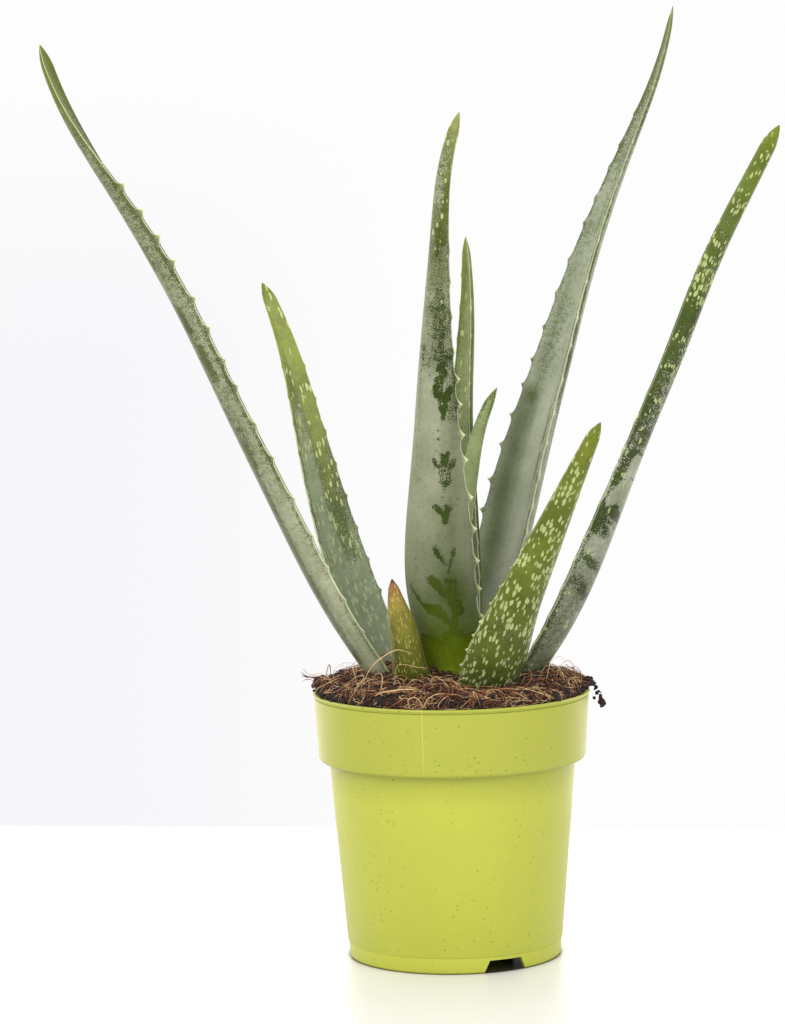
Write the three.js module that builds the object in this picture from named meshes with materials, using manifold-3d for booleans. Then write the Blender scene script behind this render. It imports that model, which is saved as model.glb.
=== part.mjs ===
// A young aloe in a lime-green 12 cm nursery pot: nine leaves on a short buried stem, its
// roots, the potting mix, the loose coir heaped on top, and the moulded pot.
// Millimetres and degrees, +Z up. The origin is on the pot's axis, at the level it stands on.
// -Y is the front: the side with one drain notch a little to the right.
import * as THREE from 'three';
import { mergeVertices } from 'three/addons/utils/BufferGeometryUtils.js';
import Module from 'manifold-3d';

const wasm = await Module();
wasm.setup();

const GAP = 0.3; // clearance between pieces that rest on each other
const POCKET_GAP = 0.45; // clearance round a leaf, stem or root in what it stands in
const NEAR = 1e-4; // shares closer than this count as the same

const POT = {
  height: 115,
  rim: 60, // outer radius of the lip
  wall: 1.2,
  collarFoot: { radius: 57.3, height: 85.8, corner: 2.8 },
  bodyTop: 52.5,
  bodyFoot: 45.9,
  fillet: 0.7,
  segments: 48,
};
const LIP = { depth: 1.7, proud: 0.5, edge: 0.5, slope: 0.3 };
const CORNER_STEPS = 3; // facets round the collar's lower corner
const FOOT = { height: 7, radius: 45.4, thickness: 2.3, taper: 0.2, seam: 0.1 };
const FLOOR = {
  pad: 25, // radius of the flat pad that stands on the ground
  padThickness: 1.4,
  slopeWidth: 3.2,
  slopeInset: 0.6,
  channelHeight: 5.6,
  thickness: 1.2,
};
const DRAIN = { count: 8, radius: 3.6, from: 35.5, depth: 12, sides: 16 };
const NOTCH = { count: 3, first: 27, height: 5.3, top: 15, bottom: 20, below: 1, start: 40, depth: 10 };

// The heap of coir is highest on the axis and drops towards its edge, and so does the mix.
const HEAP = { top: 127, drop: 7.5, curve: 2.5, radius: 57.6, shoulder: 2.4, segments: 36 };
const MIX = { top: 122, drop: 10.8, curve: 2.2 };

const STEM = { foot: 66, crown: 106.5, radius: 11.5, sides: 20 };

const ROOT = {
  count: 6,
  radius: 2.4,
  start: 74, // height at which it leaves the stem
  reach: 34, // how far it gets from the axis
  foot: 22, // height at which it ends
  fall: 6, // how far it drops on its way out
  stagger: { reach: 3, foot: 6 },
  swing: [-0.4, 0.5], // how far it winds round the pot, in radians, one root and the next
  overrun: 5, // how far its pocket runs on past it, in clearances
  sides: 6,
  steps: 9,
};

const FIBRE = { radius: 0.35, arcs: 3, steps: 10 };

// A leaf's section is an arc under the back and a shallow channel on the face between its two
// margins. The margins curl past the half circle by CURL.
const LEAF_SIDES = 10;
const LEAF_BACK_SHARE = 6 / 10;
const LEAF_STEPS = 18;
const MIDRIB_STEPS = LEAF_STEPS * 4;
const CURL = THREE.MathUtils.degToRad(16);
const SEAT = 0.35; // how far up its thickness a section is pierced by the midrib
const TIP_SHARE = 0.05; // the last part of the length, where the tip rounds off
const LEAF_THICKNESS = [0.26, 0.38, 0.52]; // as a share of the width, foot to tip
const LEAF_CHANNEL = [0.5, 0.4, 0.25]; // depth left on the face, as a share of the thickness

// Leaning from the upright: side is to the right and away is to the back, foot to tip.
// back is the direction, round the pot, that the leaf's rounded back faces, 0 being +X.
const LEAVES = {
  leaf_young_back: {
    foot: [5, 0, 104],
    length: 145,
    side: [-2, -8, 14, 10, 30],
    away: [3, 5, 6],
    back: [70, 76, 80],
    width: [7, 9, 8.5, 7, 3.5],
  },
  leaf_slender_back: {
    foot: [6, 4, 103],
    length: 209,
    side: [11, 0, -3, 4, -4],
    away: [10, 7, 4],
    back: [40, 36, 32],
    width: [9, 11, 12, 10, 3.5],
  },
  leaf_centre_front: {
    foot: [4, -7, 101],
    length: 267,
    side: [-2, -12, -1, 0, 1, 3, 5, 22],
    away: [-12, -8, -6],
    back: [246, 250, 250],
    width: [18, 31.5, 19.5, 9.5, 3.5],
  },
  leaf_tall_right: {
    foot: [7, 6, 99],
    length: 338,
    side: [11, 15, 15, 18, 18, 22, 23, 10],
    away: [22, 14, 10],
    back: [42, 38, 20],
    width: [16, 29.5, 21, 10.5, 1.5],
  },
  leaf_left_short: {
    foot: [-9, 7, 97],
    length: 212,
    side: [-41, -23, -15, -13, -23],
    away: [20, 10, 6],
    back: [128, 116, 110],
    width: [14, 21, 18, 11.5, 5],
  },
  leaf_left_long: {
    foot: [-10.5, -1, 96],
    length: 340,
    side: [-42, -32, -25, -25, -24, -29, -31, -14],
    away: [-10, -6, -3],
    back: [208, 206, 145],
    width: [14, 18, 14.5, 11.5, 5.5],
  },
  leaf_right_long: {
    foot: [9.5, -1, 95],
    length: 295,
    side: [49, 34, 24, 22, 23, 21, 27, 27],
    away: [-6, -6, -4],
    back: [338, 330, 326],
    width: [12, 21, 13.5, 11.5, 7],
  },
  leaf_spotted_front: {
    foot: [4, -9, 94],
    length: 165,
    side: [32, 17, 23, 23, 24],
    away: [-36, -22, -12],
    back: [296, 300, 304],
    width: [15, 29, 20.5, 12.5, 4],
  },
  leaf_dry_tip: {
    foot: [-8, -9.5, 95],
    length: 78,
    side: [-26, -18, -7, -12, -6],
    away: [-26, -16, -8],
    back: [250, 255, 260],
    width: [11, 21.5, 14.5, 11, 2.5],
  },
};

// Loose fibres, each a route by hand from where it leaves the heap.
const FIBRES = {
  coir_tuft_left: [[-55, 0, 121.2], [-59, -0.5, 121.4], [-62.7, -0.5, 122.2], [-65.2, 0, 124.2]],
  coir_strand_arched: [
    [-38.5, -30.5, 122.9],
    [-33.9, -31, 130],
    [-28.7, -31.5, 134.5],
    [-22.8, -31, 137],
    [-16.5, -30, 135],
  ],
  coir_strand_rim: [[0.4, -49, 122.9], [-6, -53.5, 121.7], [-10.5, -57, 119.6], [-13, -58.6, 115.8]],
  coir_strand_front: [
    [-33, -47.5, 119.7],
    [-29.5, -47, 121.3],
    [-19.8, -47, 122.4],
    [-15, -49.5, 122.2],
  ],
  coir_loop_right: [
    [44.5, -20, 123],
    [46.3, -20, 127.5],
    [49.8, -18, 129.6],
    [52.6, -16, 126],
    [52.4, -18, 121.2],
  ],
};

// The clump that leans over the rim at the right: crumbs as [place, radius], joined.
const CRUMB = { sides: 8, rings: 5 };
const CLUMP = [
  [[59.4, -2, 117.9], 1.9],
  [[61.6, -2, 116.9], 1.6],
  [[62.4, -2, 114.8], 1.5],
  [[63.2, -2, 112.7], 1.4],
  [[64, -2, 110.8], 1.4],
  [[65, -2, 108.6], 2],
];

const FINISH = {
  pot: { color: 0xc5cd55, roughness: 0.42 },
  mix: { color: 0x33231b, roughness: 1 },
  coir: { color: 0x6b4130, roughness: 0.95 },
  fibre: { color: 0xc39a6c, roughness: 0.8 },
  stem: { color: 0x9a8f52, roughness: 0.7 },
  root: { color: 0xb98f5c, roughness: 0.8 },
  leaf: { color: 0x8c9c78, roughness: 0.5 },
  leafSpotted: { color: 0x6f8440, roughness: 0.5 },
  leafYoung: { color: 0x6f9440, roughness: 0.45 },
  leafDry: { color: 0xa8963c, roughness: 0.6 },
};
const LEAF_FINISH = {
  leaf_young_back: FINISH.leafYoung,
  leaf_spotted_front: FINISH.leafSpotted,
  leaf_dry_tip: FINISH.leafDry,
};

const { degToRad } = THREE.MathUtils;
const plant = new THREE.Group();

function addPiece(name, geometry, finish) {
  const mesh = new THREE.Mesh(geometry, new THREE.MeshStandardMaterial({ metalness: 0, ...finish }));
  mesh.name = name;
  plant.add(mesh);
}

function toSolid(geometry) {
  const bare = geometry.clone();
  bare.deleteAttribute('normal');
  bare.deleteAttribute('uv');
  const closed = mergeVertices(bare, 1e-4);
  const mesh = new wasm.Mesh({
    numProp: 3,
    vertProperties: new Float32Array(closed.attributes.position.array),
    triVerts: new Uint32Array(closed.index.array),
  });
  return new wasm.Manifold(mesh);
}

function toGeometry(solid) {
  const mesh = solid.getMesh();
  const geometry = new THREE.BufferGeometry();
  geometry.setAttribute('position', new THREE.BufferAttribute(mesh.vertProperties, 3));
  geometry.setIndex(new THREE.BufferAttribute(mesh.triVerts, 1));
  geometry.computeVertexNormals();
  return geometry;
}

// The biggest of a cut solid's pieces: crumbs shut in between the leaves are left out.
function largest(solid) {
  return solid.decompose().reduce((best, piece) => (piece.volume() > best.volume() ? piece : best));
}

// A profile of [radius, height] turned round the pot's axis.
function turned(profile, segments) {
  const points = profile.map(([radius, height]) => new THREE.Vector2(radius, height));
  return new THREE.LatheGeometry(points, segments).rotateX(Math.PI / 2);
}

// The curve through values spaced evenly from foot to tip, read at a share of the length.
function graded(values, share) {
  const last = values.length - 1;
  const place = THREE.MathUtils.clamp(share, 0, 1) * last;
  const start = Math.min(Math.floor(place), last - 1);
  const u = place - start;
  const at = (index) => {
    if (index < 0) return 2 * values[0] - values[1];
    if (index > last) return 2 * values[last] - values[last - 1];
    return values[index];
  };
  const [a, b, c, d] = [at(start - 1), at(start), at(start + 1), at(start + 2)];
  return b + 0.5 * u * (c - a + u * (2 * a - 5 * b + 4 * c - d + u * (3 * (b - c) + d - a)));
}

// A cone with its point up, each of whose vertices is moved to place(share, around, rim):
// share runs from foot to tip and around once round. rim is 1 on the skin, and 0 at the tip
// and in the middle of the foot.
function bentCone(sides, steps, place) {
  const cone = new THREE.ConeGeometry(1, 1, sides, steps);
  const { position } = cone.attributes;
  for (let i = 0; i < position.count; i += 1) {
    const [x, z] = [position.getX(i), position.getZ(i)];
    const share = position.getY(i) + 0.5;
    const rim = share > 1 - NEAR ? 0 : Math.hypot(x, z) / (1 - share);
    const around = (1.75 + Math.atan2(x, z) / (2 * Math.PI)) % 1;
    position.setXYZ(i, ...place(share, around, rim).toArray());
  }
  return cone;
}

function midribOf(leaf) {
  const points = [new THREE.Vector3(...leaf.foot)];
  for (let i = 0; i < MIDRIB_STEPS; i += 1) {
    const share = (i + 0.5) / MIDRIB_STEPS;
    const side = Math.tan(degToRad(graded(leaf.side, share)));
    const away = Math.tan(degToRad(graded(leaf.away, share)));
    const step = new THREE.Vector3(side, away, 1).setLength(leaf.length / MIDRIB_STEPS);
    points.push(points[i].clone().add(step));
  }
  return points;
}

// A leaf's skin. grow pushes it outwards, for the pocket that the leaf stands in.
function leafSkin(leaf, grow = 0) {
  const midrib = midribOf(leaf);
  return bentCone(LEAF_SIDES, LEAF_STEPS, (share, around, rim) => {
    const index = Math.round(share * MIDRIB_STEPS);
    const before = midrib[Math.max(index - 1, 0)];
    const after = midrib[Math.min(index + 1, MIDRIB_STEPS)];
    const along = after.clone().sub(before).normalize();
    const facing = degToRad(graded(leaf.back, share));
    const out = new THREE.Vector3(Math.cos(facing), Math.sin(facing), 0);
    out.addScaledVector(along, -out.dot(along)).normalize();
    const across = out.clone().cross(along);

    const inTip = Math.max(share - (1 - TIP_SHARE), 0) / TIP_SHARE;
    const width = graded(leaf.width, share) * Math.sqrt(Math.max(1 - inTip * inTip, 0));
    const thickness = width * graded(LEAF_THICKNESS, share);
    const section = leafSection(around, graded(LEAF_CHANNEL, share));
    const sideways = rim * section.x * (width / 2 + grow);
    const outwards = rim * ((section.y - SEAT) * thickness + section.lift * grow);
    const setBack = share === 0 ? grow : 0;
    return midrib[index].clone()
      .addScaledVector(along, -setBack)
      .addScaledVector(across, sideways)
      .addScaledVector(out, outwards);
  });
}

// A point of the section: x from -1 to 1 across it, y from 0 to 1 up its back, and lift, the
// way that the skin faces there.
function leafSection(around, channel) {
  if (around <= LEAF_BACK_SHARE + NEAR) {
    const turn = -CURL + (Math.PI + 2 * CURL) * (around / LEAF_BACK_SHARE);
    const onMargin = Math.sin(turn) < 0;
    return { x: Math.cos(turn), y: Math.sin(turn), lift: onMargin ? -1 : Math.sin(turn) };
  }
  const across = -1 + (2 * (around - LEAF_BACK_SHARE)) / (1 - LEAF_BACK_SHARE);
  const y = -Math.sin(CURL) + channel * (1 - across * across);
  return { x: Math.cos(CURL) * across, y, lift: -1 };
}

function heapHeight(radius) {
  return HEAP.top - HEAP.drop * (radius / HEAP.radius) ** HEAP.curve;
}

function mixHeight(radius) {
  return MIX.top - MIX.drop * (radius / HEAP.radius) ** MIX.curve;
}

// The pot's inner wall, from the floor's edge up to below the lip.
function innerWall(clearance) {
  const { collarFoot, wall } = POT;
  const shelf = collarFoot.height + wall;
  return [
    [POT.bodyFoot - wall - clearance, FLOOR.channelHeight + FLOOR.thickness + clearance],
    [POT.bodyTop - wall - clearance, shelf + clearance],
    [collarFoot.radius - wall - clearance, shelf + clearance + 1.2],
    [POT.rim - LIP.proud - wall - clearance, POT.height - LIP.depth],
  ];
}

// The floor's upper side, from the axis out: a pad, a slope and the raised channel.
function floorTop(clearance) {
  return [
    [0, FLOOR.padThickness + clearance],
    [FLOOR.pad - clearance, FLOOR.padThickness + clearance],
    [FLOOR.pad + FLOOR.slopeWidth - clearance, FLOOR.channelHeight + FLOOR.thickness + clearance],
  ];
}

function potShell() {
  const { collarFoot } = POT;
  const footInside = FOOT.radius - FOOT.thickness;
  const collar = POT.rim - LIP.proud;
  const under = [
    [0, 0],
    [FLOOR.pad - FLOOR.slopeInset, 0],
    [FLOOR.pad + FLOOR.slopeWidth - FLOOR.slopeInset, FLOOR.channelHeight],
    [footInside, FLOOR.channelHeight],
    [footInside, 0],
  ];
  const outside = [
    [FOOT.radius - FOOT.taper, 0],
    [FOOT.radius, FOOT.height - FOOT.seam],
    [POT.bodyFoot, FOOT.height + FOOT.seam],
    [POT.bodyTop, collarFoot.height - POT.fillet],
    [POT.bodyTop + POT.fillet, collarFoot.height],
  ];
  for (let i = 0; i <= CORNER_STEPS; i += 1) {
    const turn = degToRad(-90 + (90 / CORNER_STEPS) * i);
    outside.push([
      collarFoot.radius + collarFoot.corner * (Math.cos(turn) - 1),
      collarFoot.height + collarFoot.corner * (Math.sin(turn) + 1),
    ]);
  }
  const lip = [
    [collar, POT.height - LIP.depth],
    [POT.rim, POT.height - LIP.depth + LIP.slope],
    [POT.rim, POT.height - LIP.edge],
    [POT.rim - LIP.edge, POT.height],
    [collar - POT.wall, POT.height],
  ];
  const profile = [...under, ...outside, ...lip, ...innerWall(0).reverse(), ...floorTop(0).reverse()];
  return toSolid(turned(profile, POT.segments));
}

function drainHole(index) {
  const hole = new THREE.CylinderGeometry(DRAIN.radius, DRAIN.radius, DRAIN.depth, DRAIN.sides);
  hole.rotateX(Math.PI / 2);
  const angle = (index / DRAIN.count) * 2 * Math.PI;
  hole.translate(DRAIN.from * Math.cos(angle), DRAIN.from * Math.sin(angle), FLOOR.channelHeight);
  return toSolid(hole);
}

// A trapezoid gap through the foot ring, wider where it meets the ground.
function footNotch(index) {
  const spread = (NOTCH.below / NOTCH.height) * (NOTCH.bottom - NOTCH.top) * 0.5;
  const outline = new THREE.Shape([
    new THREE.Vector2(-NOTCH.bottom / 2 - spread, -NOTCH.below),
    new THREE.Vector2(NOTCH.bottom / 2 + spread, -NOTCH.below),
    new THREE.Vector2(NOTCH.top / 2, NOTCH.height),
    new THREE.Vector2(-NOTCH.top / 2, NOTCH.height),
  ]);
  const prism = new THREE.ExtrudeGeometry(outline, { depth: NOTCH.depth, bevelEnabled: false });
  prism.rotateX(Math.PI / 2);
  prism.translate(0, -NOTCH.start, 0);
  prism.rotateZ(degToRad(NOTCH.first + (360 / NOTCH.count) * index));
  return toSolid(prism);
}

function makePot() {
  let pot = potShell();
  for (let i = 0; i < DRAIN.count; i += 1) pot = pot.subtract(drainHole(i));
  for (let i = 0; i < NOTCH.count; i += 1) pot = pot.subtract(footNotch(i));
  addPiece('pot', toGeometry(pot), FINISH.pot);
}

function stemSolid(grow = 0) {
  const { foot, crown, radius } = STEM;
  const profile = [
    [0, foot - grow],
    [radius * 0.75, foot + 1 - grow],
    [radius * 0.95 + grow, foot + 8],
    [radius + grow, foot + 26],
    [radius * 0.83 + grow, crown - 8.5 + grow],
    [radius * 0.6 + grow, crown - 4 + grow],
    [radius * 0.28 + grow, crown - 0.8 + grow],
    [0, crown + grow],
  ];
  return toSolid(turned(profile, STEM.sides));
}

// A root leaves the stem's side, runs out and then down towards the floor.
function rootSkin(index, grow = 0) {
  const heading = ((index + 0.5) / ROOT.count) * 2 * Math.PI;
  const swing = ROOT.swing[index % 2];
  const reach = ROOT.reach - ROOT.stagger.reach * (index % 3);
  const foot = ROOT.foot + ROOT.stagger.foot * (index % 2);
  const spot = (radius, angle, height) =>
    new THREE.Vector3(radius * Math.cos(angle), radius * Math.sin(angle), height);
  const route = new THREE.CatmullRomCurve3([
    spot(STEM.radius * 0.7, heading, ROOT.start),
    spot(reach * 0.7, heading + swing * 0.4, ROOT.start - ROOT.fall),
    spot(reach, heading + swing * 0.8, (ROOT.start + foot) / 2),
    spot(reach * 0.86, heading + swing, foot),
  ]);
  const frames = route.computeFrenetFrames(ROOT.steps);
  return bentCone(ROOT.sides, ROOT.steps, (share, around, rim) => {
    const step = Math.round(share * ROOT.steps);
    const radius = rim * (ROOT.radius * Math.sqrt(Math.max(1 - share, 0)) + grow);
    const turn = around * 2 * Math.PI;
    const beyond = step === ROOT.steps ? grow * ROOT.overrun : 0;
    return route.getPointAt(share)
      .addScaledVector(frames.tangents[step], beyond)
      .addScaledVector(frames.normals[step], radius * Math.cos(turn))
      .addScaledVector(frames.binormals[step], radius * Math.sin(turn));
  });
}

// The leaves from the heart outwards: each is cut back from the stem and from those inside it.
function makeLeaves(pockets) {
  const inner = [stemSolid(POCKET_GAP)];
  for (const [name, leaf] of Object.entries(LEAVES)) {
    let solid = toSolid(leafSkin(leaf));
    for (const pocket of inner) solid = solid.subtract(pocket);
    addPiece(name, toGeometry(largest(solid)), LEAF_FINISH[name] ?? FINISH.leaf);
    inner.push(toSolid(leafSkin(leaf, POCKET_GAP)));
  }
  pockets.push(...inner);
}

function makeRoots(pockets) {
  const stem = stemSolid(GAP);
  for (let i = 0; i < ROOT.count; i += 1) {
    const root = toSolid(rootSkin(i)).subtract(stem);
    addPiece(`root_${i + 1}`, toGeometry(largest(root)), FINISH.root);
    pockets.push(toSolid(rootSkin(i, POCKET_GAP)));
  }
}

function makeMix(pockets) {
  const wall = innerWall(GAP).slice(0, -1);
  const top = [1, 0.8, 0.5, 0].map((share) => [
    HEAP.radius * share,
    mixHeight(HEAP.radius * share),
  ]);
  const profile = [...floorTop(GAP), ...wall, ...top];
  let mix = toSolid(turned(profile, HEAP.segments));
  for (const pocket of pockets) mix = mix.subtract(pocket);
  addPiece('potting_mix', toGeometry(largest(mix)), FINISH.mix);
}

function makeHeap(pockets) {
  const under = [0, 0.5, 0.8, 1].map((share) => {
    const radius = HEAP.radius * share;
    return [radius, mixHeight(radius) + GAP];
  });
  const top = [0.965, 0.88, 0.7, 0.42, 0].map((share) => {
    const radius = HEAP.radius * share;
    return [radius, heapHeight(radius)];
  });
  const shoulder = [[HEAP.radius, POT.height], [HEAP.radius * 0.992, POT.height + HEAP.shoulder]];
  let heap = toSolid(turned([...under, ...shoulder, ...top], HEAP.segments));
  for (const pocket of pockets) heap = heap.subtract(pocket);
  addPiece('coir_mat', toGeometry(largest(heap)), FINISH.coir);
}

function makeFibres() {
  const section = new THREE.Shape().absarc(0, 0, FIBRE.radius, 0, 2 * Math.PI);
  for (const [name, route] of Object.entries(FIBRES)) {
    const path = new THREE.CatmullRomCurve3(route.map((point) => new THREE.Vector3(...point)));
    const options = { extrudePath: path, steps: FIBRE.steps, curveSegments: FIBRE.arcs };
    addPiece(name, new THREE.ExtrudeGeometry(section, options), FINISH.fibre);
  }
}

function makeClump() {
  const crumbs = CLUMP.map(([place, radius]) =>
    toSolid(new THREE.SphereGeometry(radius, CRUMB.sides, CRUMB.rings).translate(...place)));
  const clump = crumbs.reduce((joined, crumb) => joined.add(crumb));
  addPiece('coir_clump_right', toGeometry(clump), FINISH.coir);
}

const pockets = [];
makePot();
makeLeaves(pockets);
makeRoots(pockets);
makeMix(pockets);
makeHeap(pockets);
addPiece('stem', toGeometry(stemSolid()), FINISH.stem);
makeFibres();
makeClump();

export default plant;
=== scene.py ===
"""A young aloe in a lime-green nursery pot: its finished surfaces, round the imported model.

Sizes in the classes are millimetres and degrees, in the model's own frame: +Z up, -Y the
front, and the origin on the pot's axis at the level it stands on. Meshes are made in metres.
"""

import logging
import math
from collections.abc import Iterator
from contextlib import contextmanager
from dataclasses import dataclass, field
from enum import Enum

import bpy
import numpy as np
from mathutils import Matrix, Vector


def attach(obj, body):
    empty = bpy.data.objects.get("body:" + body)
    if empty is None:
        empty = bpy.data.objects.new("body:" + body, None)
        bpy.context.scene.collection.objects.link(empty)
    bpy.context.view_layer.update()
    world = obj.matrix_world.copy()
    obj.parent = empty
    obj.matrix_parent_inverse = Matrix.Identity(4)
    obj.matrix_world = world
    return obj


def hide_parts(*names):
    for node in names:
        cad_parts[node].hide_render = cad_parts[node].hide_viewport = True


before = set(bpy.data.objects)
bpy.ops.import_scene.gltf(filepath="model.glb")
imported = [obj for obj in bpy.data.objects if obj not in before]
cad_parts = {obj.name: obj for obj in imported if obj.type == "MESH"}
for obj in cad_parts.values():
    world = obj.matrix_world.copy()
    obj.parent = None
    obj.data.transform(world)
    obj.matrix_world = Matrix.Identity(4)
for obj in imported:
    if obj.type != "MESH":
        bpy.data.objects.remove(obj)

log = logging.getLogger("aloe")
MM = 0.001
BODY = "root"

SKIN_MAP = "skin"  # the name of a leaf's own map

Point = tuple[float, float, float]
Span = tuple[float, float]
Outline = list[Span]
Colour = tuple[float, float, float]
Strip = tuple[tuple[float, Colour], ...]
Piece = bpy.types.Object
Mesh = bpy.types.Mesh
Material = bpy.types.Material
Group = bpy.types.NodeTree
Node = bpy.types.Node
Socket = bpy.types.NodeSocket
Value = float | tuple | Socket

BLACK: Colour = (0.0, 0.0, 0.0)


# ---------------------------------------------------------------- small tools

def srgb(red: int, green: int, blue: int) -> Colour:
    """The linear colour of an 8-bit display colour."""
    def linear(level: int) -> float:
        share = level / 255
        return share / 12.92 if share <= 0.04045 else ((share + 0.055) / 1.055) ** 2.4
    return (linear(red), linear(green), linear(blue))


def strip(*stops: tuple[float, int, int, int]) -> Strip:
    """A strip of colours, each given by its place and its 8-bit display colour."""
    return tuple((place, srgb(*levels)) for place, *levels in stops)


def graded(values: tuple[float, ...], share: np.ndarray) -> np.ndarray:
    """Reads a smooth curve through evenly spaced values.

    Args:
        values: What the curve passes through, first to last.
        share: Where to read it, 0 at the first value and 1 at the last.

    Returns:
        The curve's value at each share.
    """
    knots = np.array([2 * values[0] - values[1], *values, 2 * values[-1] - values[-2]], float)
    last = len(values) - 1
    place = np.clip(share, 0, 1) * last
    start = np.minimum(place.astype(int), last - 1)
    u = place - start
    a, b, c, d = (knots[start + k] for k in range(4))
    return b + 0.5 * u * (c - a + u * (2 * a - 5 * b + 4 * c - d + u * (3 * (b - c) + d - a)))


def growing(reach: float, first: float, growth: float, longest: float = math.inf) -> np.ndarray:
    """Stops from 0 to a reach, each step longer than the last one.

    Args:
        reach: The last stop.
        first: The first step, before all are fitted to the reach.
        growth: How many times longer each step is.
        longest: Where the steps stop growing.

    Returns:
        The stops.
    """
    steps = [first]
    while sum(steps) < reach:
        steps.append(min(steps[-1] * growth, longest))
    stops = np.concatenate([[0.0], np.cumsum(steps)])
    return stops * (reach / stops[-1])


def smooth_route(route: tuple[Point, ...], count: int) -> np.ndarray:
    """Points along a smooth curve through a route."""
    share = np.linspace(0, 1, count)
    return np.stack([graded(tuple(point[axis] for point in route), share) for axis in range(3)], -1)


def unit(vectors: np.ndarray) -> np.ndarray:
    """The vectors at length 1."""
    return vectors / np.linalg.norm(vectors, axis=-1, keepdims=True)


def deselect() -> None:
    """Leaves nothing selected and nothing active."""
    bpy.ops.object.select_all(action="DESELECT")
    bpy.context.view_layer.objects.active = None


def pick(piece: Piece) -> None:
    """Selects one object alone and makes it active."""
    deselect()
    piece.select_set(True)
    bpy.context.view_layer.objects.active = piece


@contextmanager
def editing(piece: Piece, mode: str = "VERT") -> Iterator[None]:
    """Edit mode on one object, with all of it selected, for the length of a with block.

    Args:
        piece: The object to edit.
        mode: VERT, EDGE or FACE, for what is picked.
    """
    pick(piece)
    bpy.ops.object.mode_set(mode="EDIT")
    bpy.ops.mesh.select_mode(type=mode)
    bpy.ops.mesh.select_all(action="SELECT")
    yield
    bpy.ops.object.mode_set(mode="OBJECT")


def added() -> Piece:
    """The object that the last operator made."""
    return bpy.context.object


def modify(piece: Piece, kind: str, **settings: object) -> None:
    """Puts a modifier on a piece and applies it.

    Args:
        piece: The object to change.
        kind: The modifier's type, such as BOOLEAN.
        settings: The modifier's own properties.
    """
    pick(piece)
    modifier = piece.modifiers.new(kind.title(), kind)
    for name, value in settings.items():
        setattr(modifier, name, value)
    bpy.ops.object.modifier_apply(modifier=modifier.name)


def remove(piece: Piece) -> None:
    """Takes an object out of the file, with its mesh."""
    mesh = piece.data
    bpy.data.objects.remove(piece)
    bpy.data.meshes.remove(mesh)


def coordinates(mesh: Mesh) -> np.ndarray:
    """The mesh's vertices, one row each, in metres."""
    flat = np.empty(len(mesh.vertices) * 3)
    mesh.vertices.foreach_get("co", flat)
    return flat.reshape(-1, 3)


def move_vertices(mesh: Mesh, places: np.ndarray) -> None:
    """Puts the mesh's vertices at these places, one row each, in metres."""
    mesh.vertices.foreach_set("co", places.ravel())
    mesh.update()


def paint(mesh: Mesh, name: str, values: np.ndarray) -> None:
    """Keeps one number a vertex under a name that a finish reads."""
    layer = mesh.attributes.new(name, "FLOAT", "POINT")
    layer.data.foreach_set("value", values.astype(np.float32).ravel())


def raised(outline: Outline, segments: int) -> Piece:
    """Raises a round solid ring by ring from a disc, and closes it over its last ring.

    Args:
        outline: The radius and height of each ring, in millimetres.
        segments: How many sides a ring has.

    Returns:
        The solid.
    """
    radius, height = outline[0]
    bpy.ops.mesh.primitive_circle_add(vertices=segments, radius=radius * MM, fill_type="NGON",
                                      location=(0, 0, height * MM))
    solid = added()
    pick(solid)
    bpy.ops.object.transform_apply(location=True, rotation=False, scale=False)
    with editing(solid, "EDGE"):
        bpy.ops.mesh.region_to_loop()
        for (radius, height), (wider, higher) in zip(outline, outline[1:]):
            rise = (0, 0, (higher - height) * MM)
            bpy.ops.mesh.extrude_edges_move(TRANSFORM_OT_translate={"value": rise})
            bpy.ops.transform.resize(value=(wider / radius, wider / radius, 1.0),
                                     center_override=(0, 0, higher * MM))
        bpy.ops.mesh.edge_face_add()
        bpy.ops.mesh.select_all(action="SELECT")
        bpy.ops.mesh.normals_make_consistent(inside=False)
    return solid


def settle(
    piece: Piece,
    name: str,
    material: Material,
    nodes: tuple[str, ...] = (),
    smooth: float = 40.0,
) -> Piece:
    """Finishes a piece: its place goes into its mesh, and it takes its name, finish and body.

    Args:
        piece: The object as modelled.
        name: Its name from now on.
        material: Its finish.
        nodes: The model's nodes that it stands for.
        smooth: Edges sharper than this many degrees stay sharp.

    Returns:
        The piece.
    """
    pick(piece)
    bpy.ops.object.transform_apply(location=True, rotation=True, scale=True)
    bpy.ops.object.shade_smooth_by_angle(angle=math.radians(smooth))
    piece.name = piece.data.name = name
    piece.data.materials.clear()
    piece.data.materials.append(material)
    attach(piece, BODY)
    if nodes:
        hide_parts(*nodes)
    log.info("%s: %d faces", name, len(piece.data.polygons))
    return piece


# ------------------------------------------------------------- shader building

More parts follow.
